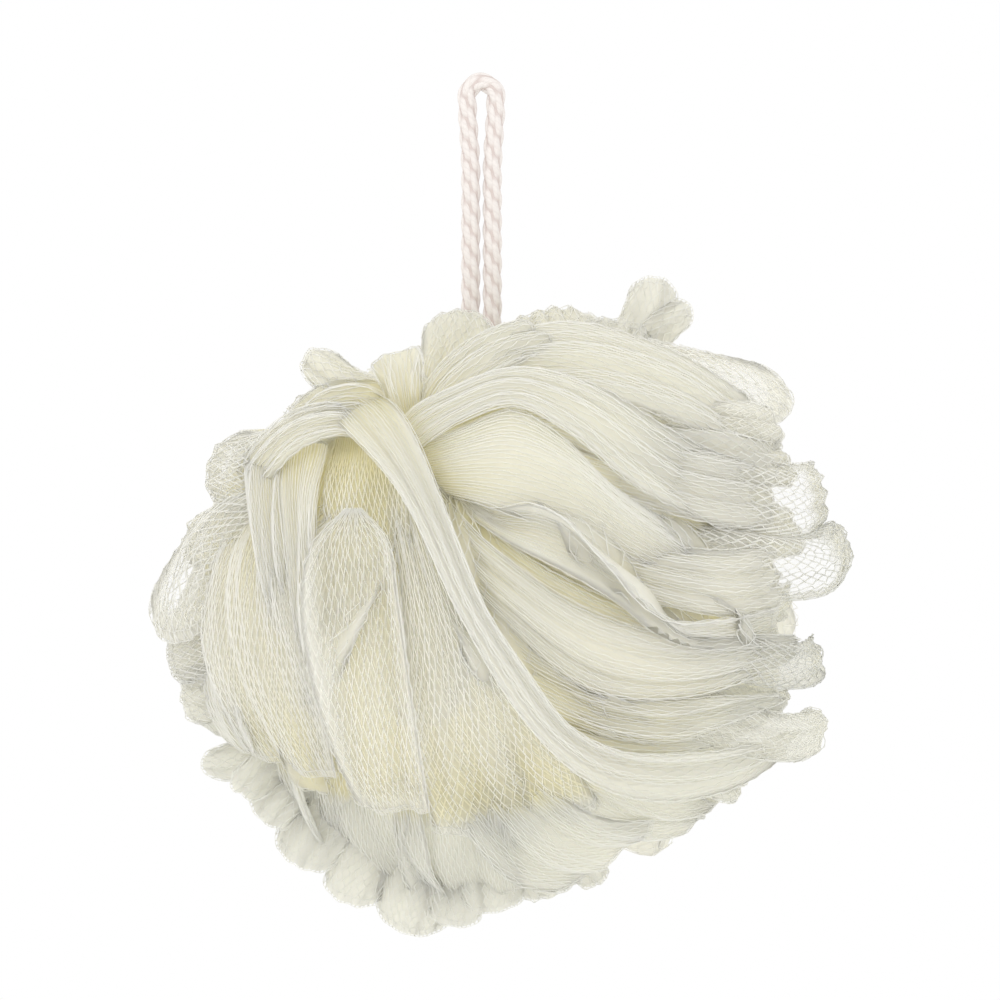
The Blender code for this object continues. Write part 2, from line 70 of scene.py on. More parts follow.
def smooth_path(points: np.ndarray, share: np.ndarray) -> np.ndarray:
    """Places on a smooth curve through points, by share of the way along it.

    Each stretch is a cubic whose slope at a point is that between the points either side.

    Args:
        points: The points, one a row.
        share: Shares from 0 to 1, in any layout.

    Returns:
        A place for each share.
    """
    knots = np.concatenate(((0.0,), np.cumsum(np.linalg.norm(np.diff(points, axis=0), axis=1))))
    knots = knots / knots[-1]
    slopes = np.gradient(points, knots, axis=0)
    share = np.clip(share, 0.0, 1.0)
    start = np.clip(np.searchsorted(knots, share, side="right") - 1, 0, len(knots) - 2)
    step = knots[start + 1] - knots[start]
    part = ((share - knots[start]) / step)[..., None]
    step = step[..., None]
    far = part * part * (3.0 - 2.0 * part)
    lean = slopes[start] * part * (1.0 - part) ** 2 - slopes[start + 1] * part ** 2 * (1.0 - part)
    return points[start] * (1.0 - far) + points[start + 1] * far + step * lean


# Shader sums


class Shade:
    """An output socket, so that sums on it read as Python expressions."""

    def __init__(self, book: "NodeBook", socket: bpy.types.NodeSocket) -> None:
        """Keeps the socket and the tree that its sums go into."""
        self.book = book
        self.socket = socket

    def _sum(self, operation: str, first: object, second: object) -> "Shade":
        """A Math node of one operation on two values or sockets."""
        return self.book.node("ShaderNodeMath", {"operation": operation}, {0: first, 1: second})

    def __add__(self, other: object) -> "Shade":
        """This value plus another."""
        return self._sum("ADD", self, other)

    def __radd__(self, other: object) -> "Shade":
        """Another value plus this one."""
        return self._sum("ADD", other, self)

    def __sub__(self, other: object) -> "Shade":
        """This value less another."""
        return self._sum("SUBTRACT", self, other)

    def __rsub__(self, other: object) -> "Shade":
        """Another value less this one."""
        return self._sum("SUBTRACT", other, self)

    def __mul__(self, other: object) -> "Shade":
        """This value times another."""
        return self._sum("MULTIPLY", self, other)

    def __rmul__(self, other: object) -> "Shade":
        """Another value times this one."""
        return self._sum("MULTIPLY", other, self)

    def __truediv__(self, other: object) -> "Shade":
        """This value over another."""
        return self._sum("DIVIDE", self, other)

    def least(self, other: object) -> "Shade":
        """The lesser of this value and another."""
        return self._sum("MINIMUM", self, other)

    def most(self, other: object) -> "Shade":
        """The greater of this value and another."""
        return self._sum("MAXIMUM", self, other)

    def power(self, exponent: float) -> "Shade":
        """This value raised to a power."""
        return self._sum("POWER", self, exponent)

    def wave(self) -> "Shade":
        """The sine of this value, without its sign."""
        sine = self.book.node("ShaderNodeMath", {"operation": "SINE"}, {0: self})
        return self.book.node("ShaderNodeMath", {"operation": "ABSOLUTE"}, {0: sine})

    def ramp(self, low: float, high: float) -> "Shade":
        """0 where this value is at low or under, 1 at high or over, eased between."""
        settings = {"interpolation_type": "SMOOTHSTEP"}
        return self.book.node("ShaderNodeMapRange", settings, {0: self, 1: low, 2: high})


class NodeBook:
    """One material's or world's node tree, and the one way that nodes get into it."""

    def __init__(self, owner: bpy.types.ID) -> None:
        """Empties the owner's node tree.

        Args:
            owner: A material or a world.
        """
        owner.use_nodes = True
        self.tree = owner.node_tree
        self.tree.nodes.clear()

    def node(self, kind: str, settings: dict | None = None, sockets: dict | None = None,
             output: object = 0) -> Shade:
        """Adds a node.

        Args:
            kind: The node's Blender type.
            settings: Its own properties, set before its sockets.
            sockets: A value or a Shade for each input, by name or number.
            output: The output to hand back, by name or number.

        Returns:
            The chosen output.
        """
        made = self.tree.nodes.new(kind)
        for name, value in (settings or {}).items():
            setattr(made, name, value)
        for name, value in (sockets or {}).items():
            if isinstance(value, Shade):
                self.tree.links.new(value.socket, made.inputs[name])
            else:
                made.inputs[name].default_value = value
        return Shade(self, made.outputs[output] if len(made.outputs) else None)

    def tint(self, share: object, first: Colour | Shade, second: Colour | Shade) -> Shade:
        """Adds a mix of two colours.

        Args:
            share: How much of the second colour, 0 to 1.
            first: A colour.
            second: Another colour.

        Returns:
            The colour between them.
        """
        made = self.tree.nodes.new("ShaderNodeMix")
        made.data_type = "RGBA"
        for socket, value in ((made.inputs[0], share), (made.inputs[6], first),
                              (made.inputs[7], second)):
            if isinstance(value, Shade):
                self.tree.links.new(value.socket, socket)
            elif isinstance(value, tuple):
                socket.default_value = (*value, 1.0)
            else:
                socket.default_value = value
        return Shade(self, made.outputs[2])

    def attribute(self, name: str) -> Shade:
        """A number stored on the mesh's points."""
        return self.node("ShaderNodeAttribute", {"attribute_name": name}, output="Fac")

    def place(self) -> Shade:
        """The point in the object's own coordinates, in metres."""
        return self.node("ShaderNodeTexCoord", output="Object")

    def across_and_along(self) -> tuple[Shade, Shade]:
        """The two numbers of the piece's own UV map."""
        where = self.node("ShaderNodeUVMap", {"uv_map": "UVMap"})
        parts = self.node("ShaderNodeSeparateXYZ", sockets={0: where})
        return parts, Shade(self, parts.socket.node.outputs[1])

    def noise(self, scale: float, detail: float = 2.0) -> Shade:
        """Soft noise in the object's coordinates, about 0.5, with features of 1 / scale metres."""
        return self.node("ShaderNodeTexNoise", sockets={
            "Vector": self.place(), "Scale": scale, "Detail": detail})

    def finish(self, surface: Shade) -> None:
        """Joins the finished shader to the tree's output."""
        self.node("ShaderNodeOutputMaterial", sockets={"Surface": surface})


# Finishes


@dataclass(frozen=True)
class NetThreadFinish:
    """Ivory netting thread, with painted shade: greyer and cooler at the tips, warm cream deep between
    the ruffles.

    Attributes:
        painted_tip_shade: The thread's ivory made greyer and cooler at the furthest tips, as painted
            shade.
        body: Colour of a thread over the ball.
        inner: Painted warm shade on a thread deep down between the ruffles.
        passed: Colour of the light that passes through.
        sheer: Share of the light that passes through.
        roughness: How dull the thread is.
        gloss: Strength of its shine.
    """

    painted_tip_shade: Colour = (0.93, 0.935, 0.90)
    body: Colour = (0.97, 0.968, 0.95)
    inner: Colour = (0.975, 0.94, 0.76)
    passed: Colour = (0.975, 0.965, 0.90)
    sheer: float = 0.5
    roughness: float = 0.42
    gloss: float = 0.35

    def material(self, name: str) -> bpy.types.Material:
        """A glossy-soft thread that lets some light through, with painted shade by its depth and its
        spread from the gathers.

        Args:
            name: The material's name.

        Returns:
            The material.
        """
        made = bpy.data.materials.new(name)
        book = NodeBook(made)
        # Painted shade: greyer and cooler toward the tips.
        colour = book.tint(book.attribute("spread").ramp(0.68, 0.95), self.body, self.painted_tip_shade)
        mottle = (book.noise(220.0) - 0.5) * 0.22
        # Painted warm shade deep between the ruffles, by how far out of it each point lies.
        colour = book.tint((book.attribute("out_of_painted_shade") + mottle).ramp(0.0, 0.7), self.inner, colour)
        solid = book.node("ShaderNodeBsdfPrincipled", sockets={
            "Base Color": colour, "Roughness": self.roughness, "Specular IOR Level": self.gloss})
        through = book.node("ShaderNodeBsdfTranslucent", sockets={"Color": (*self.passed, 1.0)})
        book.finish(book.node("ShaderNodeMixShader", sockets={0: self.sheer, 1: solid, 2: through}))
        return made


@dataclass(frozen=True)
class NetPlyFinish:
    """The close ply of a ruffle, a hazy net of its own between the threads.

    Attributes:
        painted_tip_shade: The ply's ivory made greyer and cooler at the furthest tips, as painted shade.
        body: Colour over the ball.
        painted_gather_shade: Painted warm cream shade at the gathers, where the layers pack.
        inner: Painted warm shade deep between the ruffles, and in the cells between the ply's threads.
        passed: Colour of the light that passes through.
        painted_crest_highlight: Painted highlight on the crests of the pleats, along the folded edges
            and along the fine gathers.
        sheer: Share of the light that passes through where the ply is whole.
        line: Half width of its threads, as a share of a cell.
        roughness: How dull the ply is.
        gloss: Strength of its shine.
        relief: Strength of the bumps that its gathers and threads make.
    """

    painted_tip_shade: Colour = (0.93, 0.935, 0.90)
    body: Colour = (0.955, 0.95, 0.91)
    painted_gather_shade: Colour = (0.965, 0.955, 0.88)
    inner: Colour = (0.975, 0.90, 0.52)
    passed: Colour = (0.975, 0.965, 0.90)
    painted_crest_highlight: Colour = (0.98, 0.98, 0.97)
    sheer: float = 0.66
    line: float = 0.30
    roughness: float = 0.6
    gloss: float = 0.25
    relief: float = 0.22

    def material(self, name: str, clear: bool) -> bpy.types.Material:
        """A soft ply, with painted shade and painted highlights in its colour.

        Args:
            name: The material's name.
            clear: Whether its haze thins out where the piece's veil attribute is low.

        Returns:
            The material.
        """
        made = bpy.data.materials.new(name)
        book = NodeBook(made)
        across, along = book.across_and_along()
        one_way = ((across + along) * math.pi).wave()
        other_way = ((across - along) * math.pi).wave()
        thread = 1.0 - one_way.least(other_way).ramp(self.line * 0.5, self.line * 1.5)
        spread = book.attribute("spread")
        mottle = (book.noise(90.0, 3.0) - 0.5) * 0.35
        # Painted warm shade at the gathers, and painted grey shade toward the tips.
        colour = book.tint((spread + mottle).ramp(0.15, 0.6), self.painted_gather_shade, self.body)
        colour = book.tint(spread.ramp(0.68, 0.95), colour, self.painted_tip_shade)
        # Painted highlight on the pleats' tops and the folded edges.
        colour = book.tint(book.attribute("painted_crest_highlight") * 0.8, colour, self.painted_crest_highlight)
        # Painted warm shade deep between the ruffles.
        depth = book.attribute("out_of_painted_shade")
        colour = book.tint((depth + mottle * 0.6).ramp(0.0, 1.0), self.inner, colour)
        streak = self.streaks(book, across, along)
        # Painted warm shade in the cells between the ply's threads.
        colour = book.tint((1.0 - thread) * 0.12, colour, self.inner)
        # Painted highlight along the tops of the fine gathers.
        colour = book.tint(streak.ramp(0.45, 0.75) * 0.35, colour, self.painted_crest_highlight)
        ridge = book.node("ShaderNodeBump", sockets={
            "Strength": self.relief, "Distance": 0.0003, "Height": streak + thread * 0.2})
        solid = book.node("ShaderNodeBsdfPrincipled", sockets={
            "Base Color": colour, "Roughness": self.roughness, "Specular IOR Level": self.gloss,
            "Normal": ridge})
        through = book.node("ShaderNodeBsdfTranslucent", sockets={"Color": (*self.passed, 1.0)})
        cloth = book.node("ShaderNodeMixShader", sockets={0: self.sheer, 1: solid, 2: through})
        if clear:
            veil = book.attribute("veil")
            alpha = (veil + thread * veil * 0.5).least(1.0)
            holes = book.node("ShaderNodeBsdfTransparent")
            cloth = book.node("ShaderNodeMixShader", sockets={0: alpha, 1: holes, 2: cloth})
        book.finish(cloth)
        return made

    def streaks(self, book: NodeBook, across: Shade, along: Shade) -> Shade:
        """Fine gathers that run along the ply, as noise drawn out lengthwise."""
        where = book.node("ShaderNodeCombineXYZ", sockets={0: across * 0.85, 1: along * 0.16})
        return book.node("ShaderNodeTexNoise", sockets={
            "Vector": where, "Scale": 1.0, "Detail": 3.0, "Roughness": 0.6})


@dataclass(frozen=True)
class PackedNetFinish:
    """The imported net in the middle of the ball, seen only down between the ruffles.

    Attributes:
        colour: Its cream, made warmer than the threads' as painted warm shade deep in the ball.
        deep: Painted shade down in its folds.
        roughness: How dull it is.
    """

    colour: Colour = (0.97, 0.95, 0.83)
    deep: Colour = (0.965, 0.925, 0.72)
    roughness: float = 0.7

    def material(self) -> bpy.types.Material:
        """A matte, creased cream, with painted shade down in the creases."""
        made = bpy.data.materials.new("packed_net")
        book = NodeBook(made)
        creases = book.noise(260.0, 4.0)
        # Painted shade in the low parts of the creases.
        colour = book.tint(creases.ramp(0.35, 0.65), self.deep, self.colour)
        bumps = book.node("ShaderNodeBump", sockets={
            "Strength": 0.5, "Distance": 0.0008, "Height": creases})
        book.finish(book.node("ShaderNodeBsdfPrincipled", sockets={
            "Base Color": colour, "Roughness": self.roughness, "Specular IOR Level": 0.2,
            "Normal": bumps}))
        return made


@dataclass(frozen=True)
class YarnFinish:
    """Soft off-white cotton yarn, with painted shade, darker and pinker, down between the yarns and in
    their twist.

    Attributes:
        crown: Colour on top of a yarn.
        hollow: Painted shade down between the yarns and in the grooves of their twist.
        plies: Twisted plies counted round a yarn.
        roughness: How dull the yarn is.
    """

    crown: Colour = (0.76, 0.715, 0.685)
    hollow: Colour = (0.62, 0.54, 0.51)
    plies: float = 3.0
    roughness: float = 0.85

    def material(self, name: str) -> bpy.types.Material:
        """A matte yarn with a fine twist along it.

        Args:
            name: The material's name.

        Returns:
            The material.
        """
        made = bpy.data.materials.new(name)
        book = NodeBook(made)
        around, along = book.across_and_along()
        twist = ((around * self.plies + along) * math.pi).wave()
        fluff = book.noise(1800.0, 3.0)
        proud = book.attribute("proud")
        # Painted shade down between the yarns, where they stand least far out.
        colour = book.tint(proud.ramp(0.1, 0.75), self.hollow, self.crown)
        # Painted shade in the grooves of the twist.
        colour = book.tint((1.0 - twist).power(3.0) * 0.22, colour, self.hollow)
        height = twist.power(0.6) + fluff * 0.5
        bumps = book.node("ShaderNodeBump", sockets={
            "Strength": 0.45, "Distance": 0.00018, "Height": height})
        book.finish(book.node("ShaderNodeBsdfPrincipled", sockets={
            "Base Color": colour, "Roughness": self.roughness, "Specular IOR Level": 0.15,
            "Normal": bumps}))
        return made


@dataclass(frozen=True)
class StudioFinish:
    """The pale floor, which keeps the object's shadow.

    Attributes:
        colour: The floor's white.
    """

    colour: Colour = (0.93, 0.93, 0.93)

    def material(self) -> bpy.types.Material:
        """A matte white."""
        made = bpy.data.materials.new("studio_floor")
        book = NodeBook(made)
        book.finish(book.node("ShaderNodeBsdfPrincipled", sockets={
            "Base Color": (*self.colour, 1.0), "Roughness": 0.9, "Specular IOR Level": 0.0}))
        return made


# Meshes


def mesh_piece(name: str, points: np.ndarray, faces: np.ndarray, material: bpy.types.Material,
               smooth: bool = True) -> bpy.types.Object:
    """Makes a piece of quads, or of triangles, from whole arrays.

    Args:
        name: The piece's name.
        points: Its points in metres, one a row.
        faces: Four or three point numbers a row.
        material: Its only material.
        smooth: Whether it is smooth shaded.

    Returns:
        The piece, at the origin.
    """
    data = bpy.data.meshes.new(name)
    sides = faces.shape[1]
    data.vertices.add(len(points))
    data.vertices.foreach_set("co", points.astype(np.float32).ravel())
    data.loops.add(faces.size)
    data.loops.foreach_set("vertex_index", faces.astype(np.int32).ravel())
    data.polygons.add(len(faces))
    data.polygons.foreach_set("loop_start", np.arange(0, faces.size, sides, dtype=np.int32))
    data.polygons.foreach_set("use_smooth", np.full(len(faces), smooth))
    data.update(calc_edges=True)
    data.materials.append(material)
    piece = bpy.data.objects.new(name, data)
    bpy.context.scene.collection.objects.link(piece)
    return piece


def store_number(piece: bpy.types.Object, name: str, values: np.ndarray) -> None:
    """Stores a number on each of a piece's points, for its material."""
    layer = piece.data.attributes.new(name, "FLOAT", "POINT")
    layer.data.foreach_set("value", values.astype(np.float32).ravel())


def store_map(piece: bpy.types.Object, faces_map: np.ndarray) -> None:
    """Stores the UV map, two numbers for each corner of each face in turn."""
    layer = piece.data.uv_layers.new(name="UVMap")
    layer.data.foreach_set("uv", faces_map.astype(np.float32).ravel())


def sleeve_faces(rows: int, columns: int) -> np.ndarray:
    """Quads of a sleeve of rows of points that close round it, point = row x columns + column.

    Args:
        rows: Rows of points along the sleeve.
        columns: Points round it.

    Returns:
        Four point numbers a row, facing outwards where columns turn right-handed along it.
    """
    row = np.arange(rows - 1)[:, None] * columns
    column = np.arange(columns)[None, :]
    after = (column + 1) % columns
    quads = np.stack([row + column, row + after, row + columns + after, row + columns + column], -1)
    return quads.reshape(-1, 4)


def sleeve_map(across: np.ndarray, along: np.ndarray) -> np.ndarray:
    """UV corners of a sleeve's quads, from one number across it and one along it.

    Args:
        across: The first number at each column of points, and once more after the last of them.
        along: The second number at each row.

    Returns:
        Two numbers a row, for each corner of each quad in the order of sleeve_faces.
    """
    left, right = across[None, :-1], across[None, 1:]
    low, high = along[:-1, None], along[1:, None]
    corners = [np.stack(np.broadcast_arrays(*corner), -1)
               for corner in ((left, low), (right, low), (right, high), (left, high))]
    return np.stack(corners, 2).reshape(-1, 2)


@dataclass
class Patch:
    """A part of a piece, before it is joined to the others.

    Attributes:
        points: Its points in metres, one a row.
        faces: Its quads, numbered from its own first point.
        numbers: The numbers stored on each point, by name.
        corners: Its UV corners, where it has a map.
    """

    points: np.ndarray
    faces: np.ndarray
    numbers: dict
    corners: np.ndarray | None = None


def joined_piece(name: str, patches: list[Patch], material: bpy.types.Material,
                 smooth: bool = True) -> bpy.types.Object:
    """Joins patches into one piece, with their numbers and their maps.

    Args:
        name: The piece's name.
        patches: Its parts.
        material: Its only material.
        smooth: Whether it is smooth shaded.

    Returns:
        The piece, at the origin.
    """
    starts = np.cumsum([0] + [len(patch.points) for patch in patches])
    faces = [patch.faces + start for patch, start in zip(patches, starts)]
    points = np.concatenate([patch.points for patch in patches])
    piece = mesh_piece(name, points, np.concatenate(faces), material, smooth)
    if patches[0].corners is not None:
        store_map(piece, np.concatenate([patch.corners for patch in patches]))
    for stored in patches[0].numbers:
        store_number(piece, stored, np.concatenate([patch.numbers[stored] for patch in patches]))
    return piece


# The netting


@dataclass(frozen=True)
class Ruffle:
    """One ruffle of the near side, placed as it is in part.py.

    Attributes:
        neck: Where it leaves the gathers: x, z and distance from the ball's middle, drawn units.
        mid: A place half way along it.
        tip: Its tip.
        half_width: Half its width.
        blunt: How round its tip is, as a share of its half width.
        wrap: How much its width curls round the ball.
        wave: How much its edges wave.
        puff: Its thickness beside a plain ruffle's.
        sheer: How far its tip can be seen through.
    """

    neck: Vector3
    mid: Vector3
    tip: Vector3
    half_width: float
    blunt: float = 0.9
    wrap: float = 1.0
    wave: float = 0.8
    puff: float = 1.0
    sheer: float = 0.0


NEAR_RUFFLES = (
    # lobes round the top, from the cord to the right
    Ruffle((-12, 40, 52), (-10, 52, 58), (-8.8, 65, 67), 8.2, blunt=1.0, puff=1.2, sheer=0.3),
    Ruffle((2, 40, 52), (10.5, 54, 60), (10.5, 65.2, 67), 12.4, blunt=0.7, puff=1.2),
    Ruffle((6, 38, 52), (21, 51, 60), (28, 62.6, 70), 9.0, blunt=0.6),
    Ruffle((22, 44, 50), (30, 58, 66), (35, 72.4, 81), 5.6, puff=1.1),
    Ruffle((26, 46, 56), (35, 60, 70.5), (42.4, 65.6, 79), 4.0, puff=0.8, sheer=0.3),
    Ruffle((-5, 42, 56), (29, 51, 65), (62.8, 40.8, 77), 8.6, blunt=1.3, sheer=0.8),
    Ruffle((0, 38, 57), (32, 41, 66), (61.5, 38.5, 76), 5.0, wave=1.2, sheer=0.4),
    Ruffle((0, 34, 58), (35, 34, 66), (63.2, 32, 74), 6.0, wave=1.2, sheer=0.3),
    # lobes down the right side
    Ruffle((10, 28, 56), (42, 26, 66), (71.0, 24.5, 77), 8.4, puff=1.3, sheer=1.0),
    Ruffle((30, 10, 58), (50, 14, 66), (65, 17, 70), 6.0, sheer=0.3),
    Ruffle((12, 18, 56), (48, 10, 66), (75.4, 16.5, 78.5), 7.0, blunt=1.2, puff=1.3, sheer=1.0),
    Ruffle((10, 12, 56), (45, 3, 64), (63.5, 1.6, 68), 4.4, sheer=0.3),
    Ruffle((5, 5, 56), (38, -7, 64), (69.8, -9.6, 73), 5.2, sheer=0.6),
    Ruffle((10, 0, 54), (38, -15, 60), (62.8, -20.0, 68), 3.4, sheer=0.3),
    Ruffle((5, -2, 56), (38, -21, 64), (71.4, -24.6, 77), 6.0, blunt=2.0, sheer=0.5),
    Ruffle((10, -12, 54), (35, -30, 62), (54.2, -38.6, 69), 5.2, blunt=1.0, sheer=0.2),
    Ruffle((8, -18, 54), (28, -35, 60), (44.4, -46.6, 67), 4.2, sheer=0.3),
    # lobes along the bottom, from the right to the left
    Ruffle((5, -20, 50), (20, -36, 56), (30.5, -49.0, 64), 6.2, blunt=0.7),
    Ruffle((5, -25, 48), (12, -45, 56), (22, -61.6, 68), 4.0, blunt=0.8),
    Ruffle((2, -25, 48), (6, -45, 56), (12, -64.2, 68), 7.4, blunt=0.5),
    Ruffle((-3, -25, 48), (-3, -46, 56), (-1, -67.8, 71), 7.2, blunt=0.6),
    Ruffle((-6, -25, 48), (-8, -47, 56), (-11, -71, 74), 6.4, blunt=0.7),
    Ruffle((-8, -25, 48), (-14, -48, 57), (-20.6, -73.0, 77), 9.2, blunt=1.1, sheer=0.2),
    Ruffle((-14, -25, 48), (-25, -46, 57), (-34, -66.2, 76), 6.8, blunt=0.6),
    Ruffle((-18, -22, 48), (-33, -40, 57), (-45.4, -57.6, 75), 7.6, blunt=0.7, sheer=0.2),
    Ruffle((-22, -20, 48), (-40, -34, 57), (-52.4, -47.6, 74), 5.6, blunt=0.5, sheer=0.2),
    Ruffle((-26, -16, 48), (-44, -30, 58), (-57.6, -41.6, 75), 4.6, blunt=0.8),
    # lobes up the left side
    Ruffle((-30, -15, 48), (-48, -31, 60), (-66.2, -35, 76), 4.4, blunt=1.5, wrap=0.5),
    Ruffle((-30, -5, 50), (-50, -15, 60), (-70.4, -20, 74.5), 6.8, blunt=0.7, sheer=0.3),
    Ruffle((-30, 0, 50), (-52, -6, 60), (-73.4, -11.5, 76), 6.8, blunt=0.7, sheer=0.6),
    Ruffle((-38, 22, 54), (-63, 12, 68), (-69.6, -8.4, 74), 8.4, puff=1.4, sheer=1.0),
    Ruffle((-38, 20, 52), (-55, 17, 62), (-69.8, 14.6, 72), 6.0, sheer=0.9),
    Ruffle((-30, 28, 54), (-48, 30, 62), (-64.8, 29.6, 72.5), 9.0, blunt=1.0, puff=1.4, sheer=1.0),
    Ruffle((-25, 33, 54), (-38, 36, 60), (-47.6, 38.4, 65), 3.2, puff=0.8),
    Ruffle((-22, 37, 55), (-34, 42, 61), (-46.2, 43, 67), 3.8, sheer=0.6),
    Ruffle((-18, 40, 54), (-30, 46.5, 62), (-42.6, 55.4, 73), 4.6, blunt=1.5),
    Ruffle((-16, 40, 53), (-20, 45, 57), (-22.5, 50.6, 60), 5.8, blunt=0.8, sheer=0.4),
)


@dataclass(frozen=True)
class Fold:
    """One broad fold over the front, hung between its two long edges.

    Attributes:
        first: Points of one edge from the gathers on: x, z and distance from the ball's middle.
        second: Points of the other edge.
        puff: Its thickness beside a plain ruffle's.
        pleats: Pleats across it.
        bulge: How far its middle stands out past its edges.
        hollow: How far it sinks in between its edges near the gathers.
        roll: How far its edges curl up.
        sheer: How far it can be seen through where its net is open.
        clear_from: The share along it from which its net is open.
        tangle: How far its threads stray, as a share of a cell.
    """

    first: tuple
    second: tuple
    puff: float = 1.0
    pleats: float = 2.0
    bulge: float = 1.0
    hollow: float = 0.0
    roll: float = 1.0
    sheer: float = 0.0
    clear_from: float = 0.12
    tangle: float = 0.14


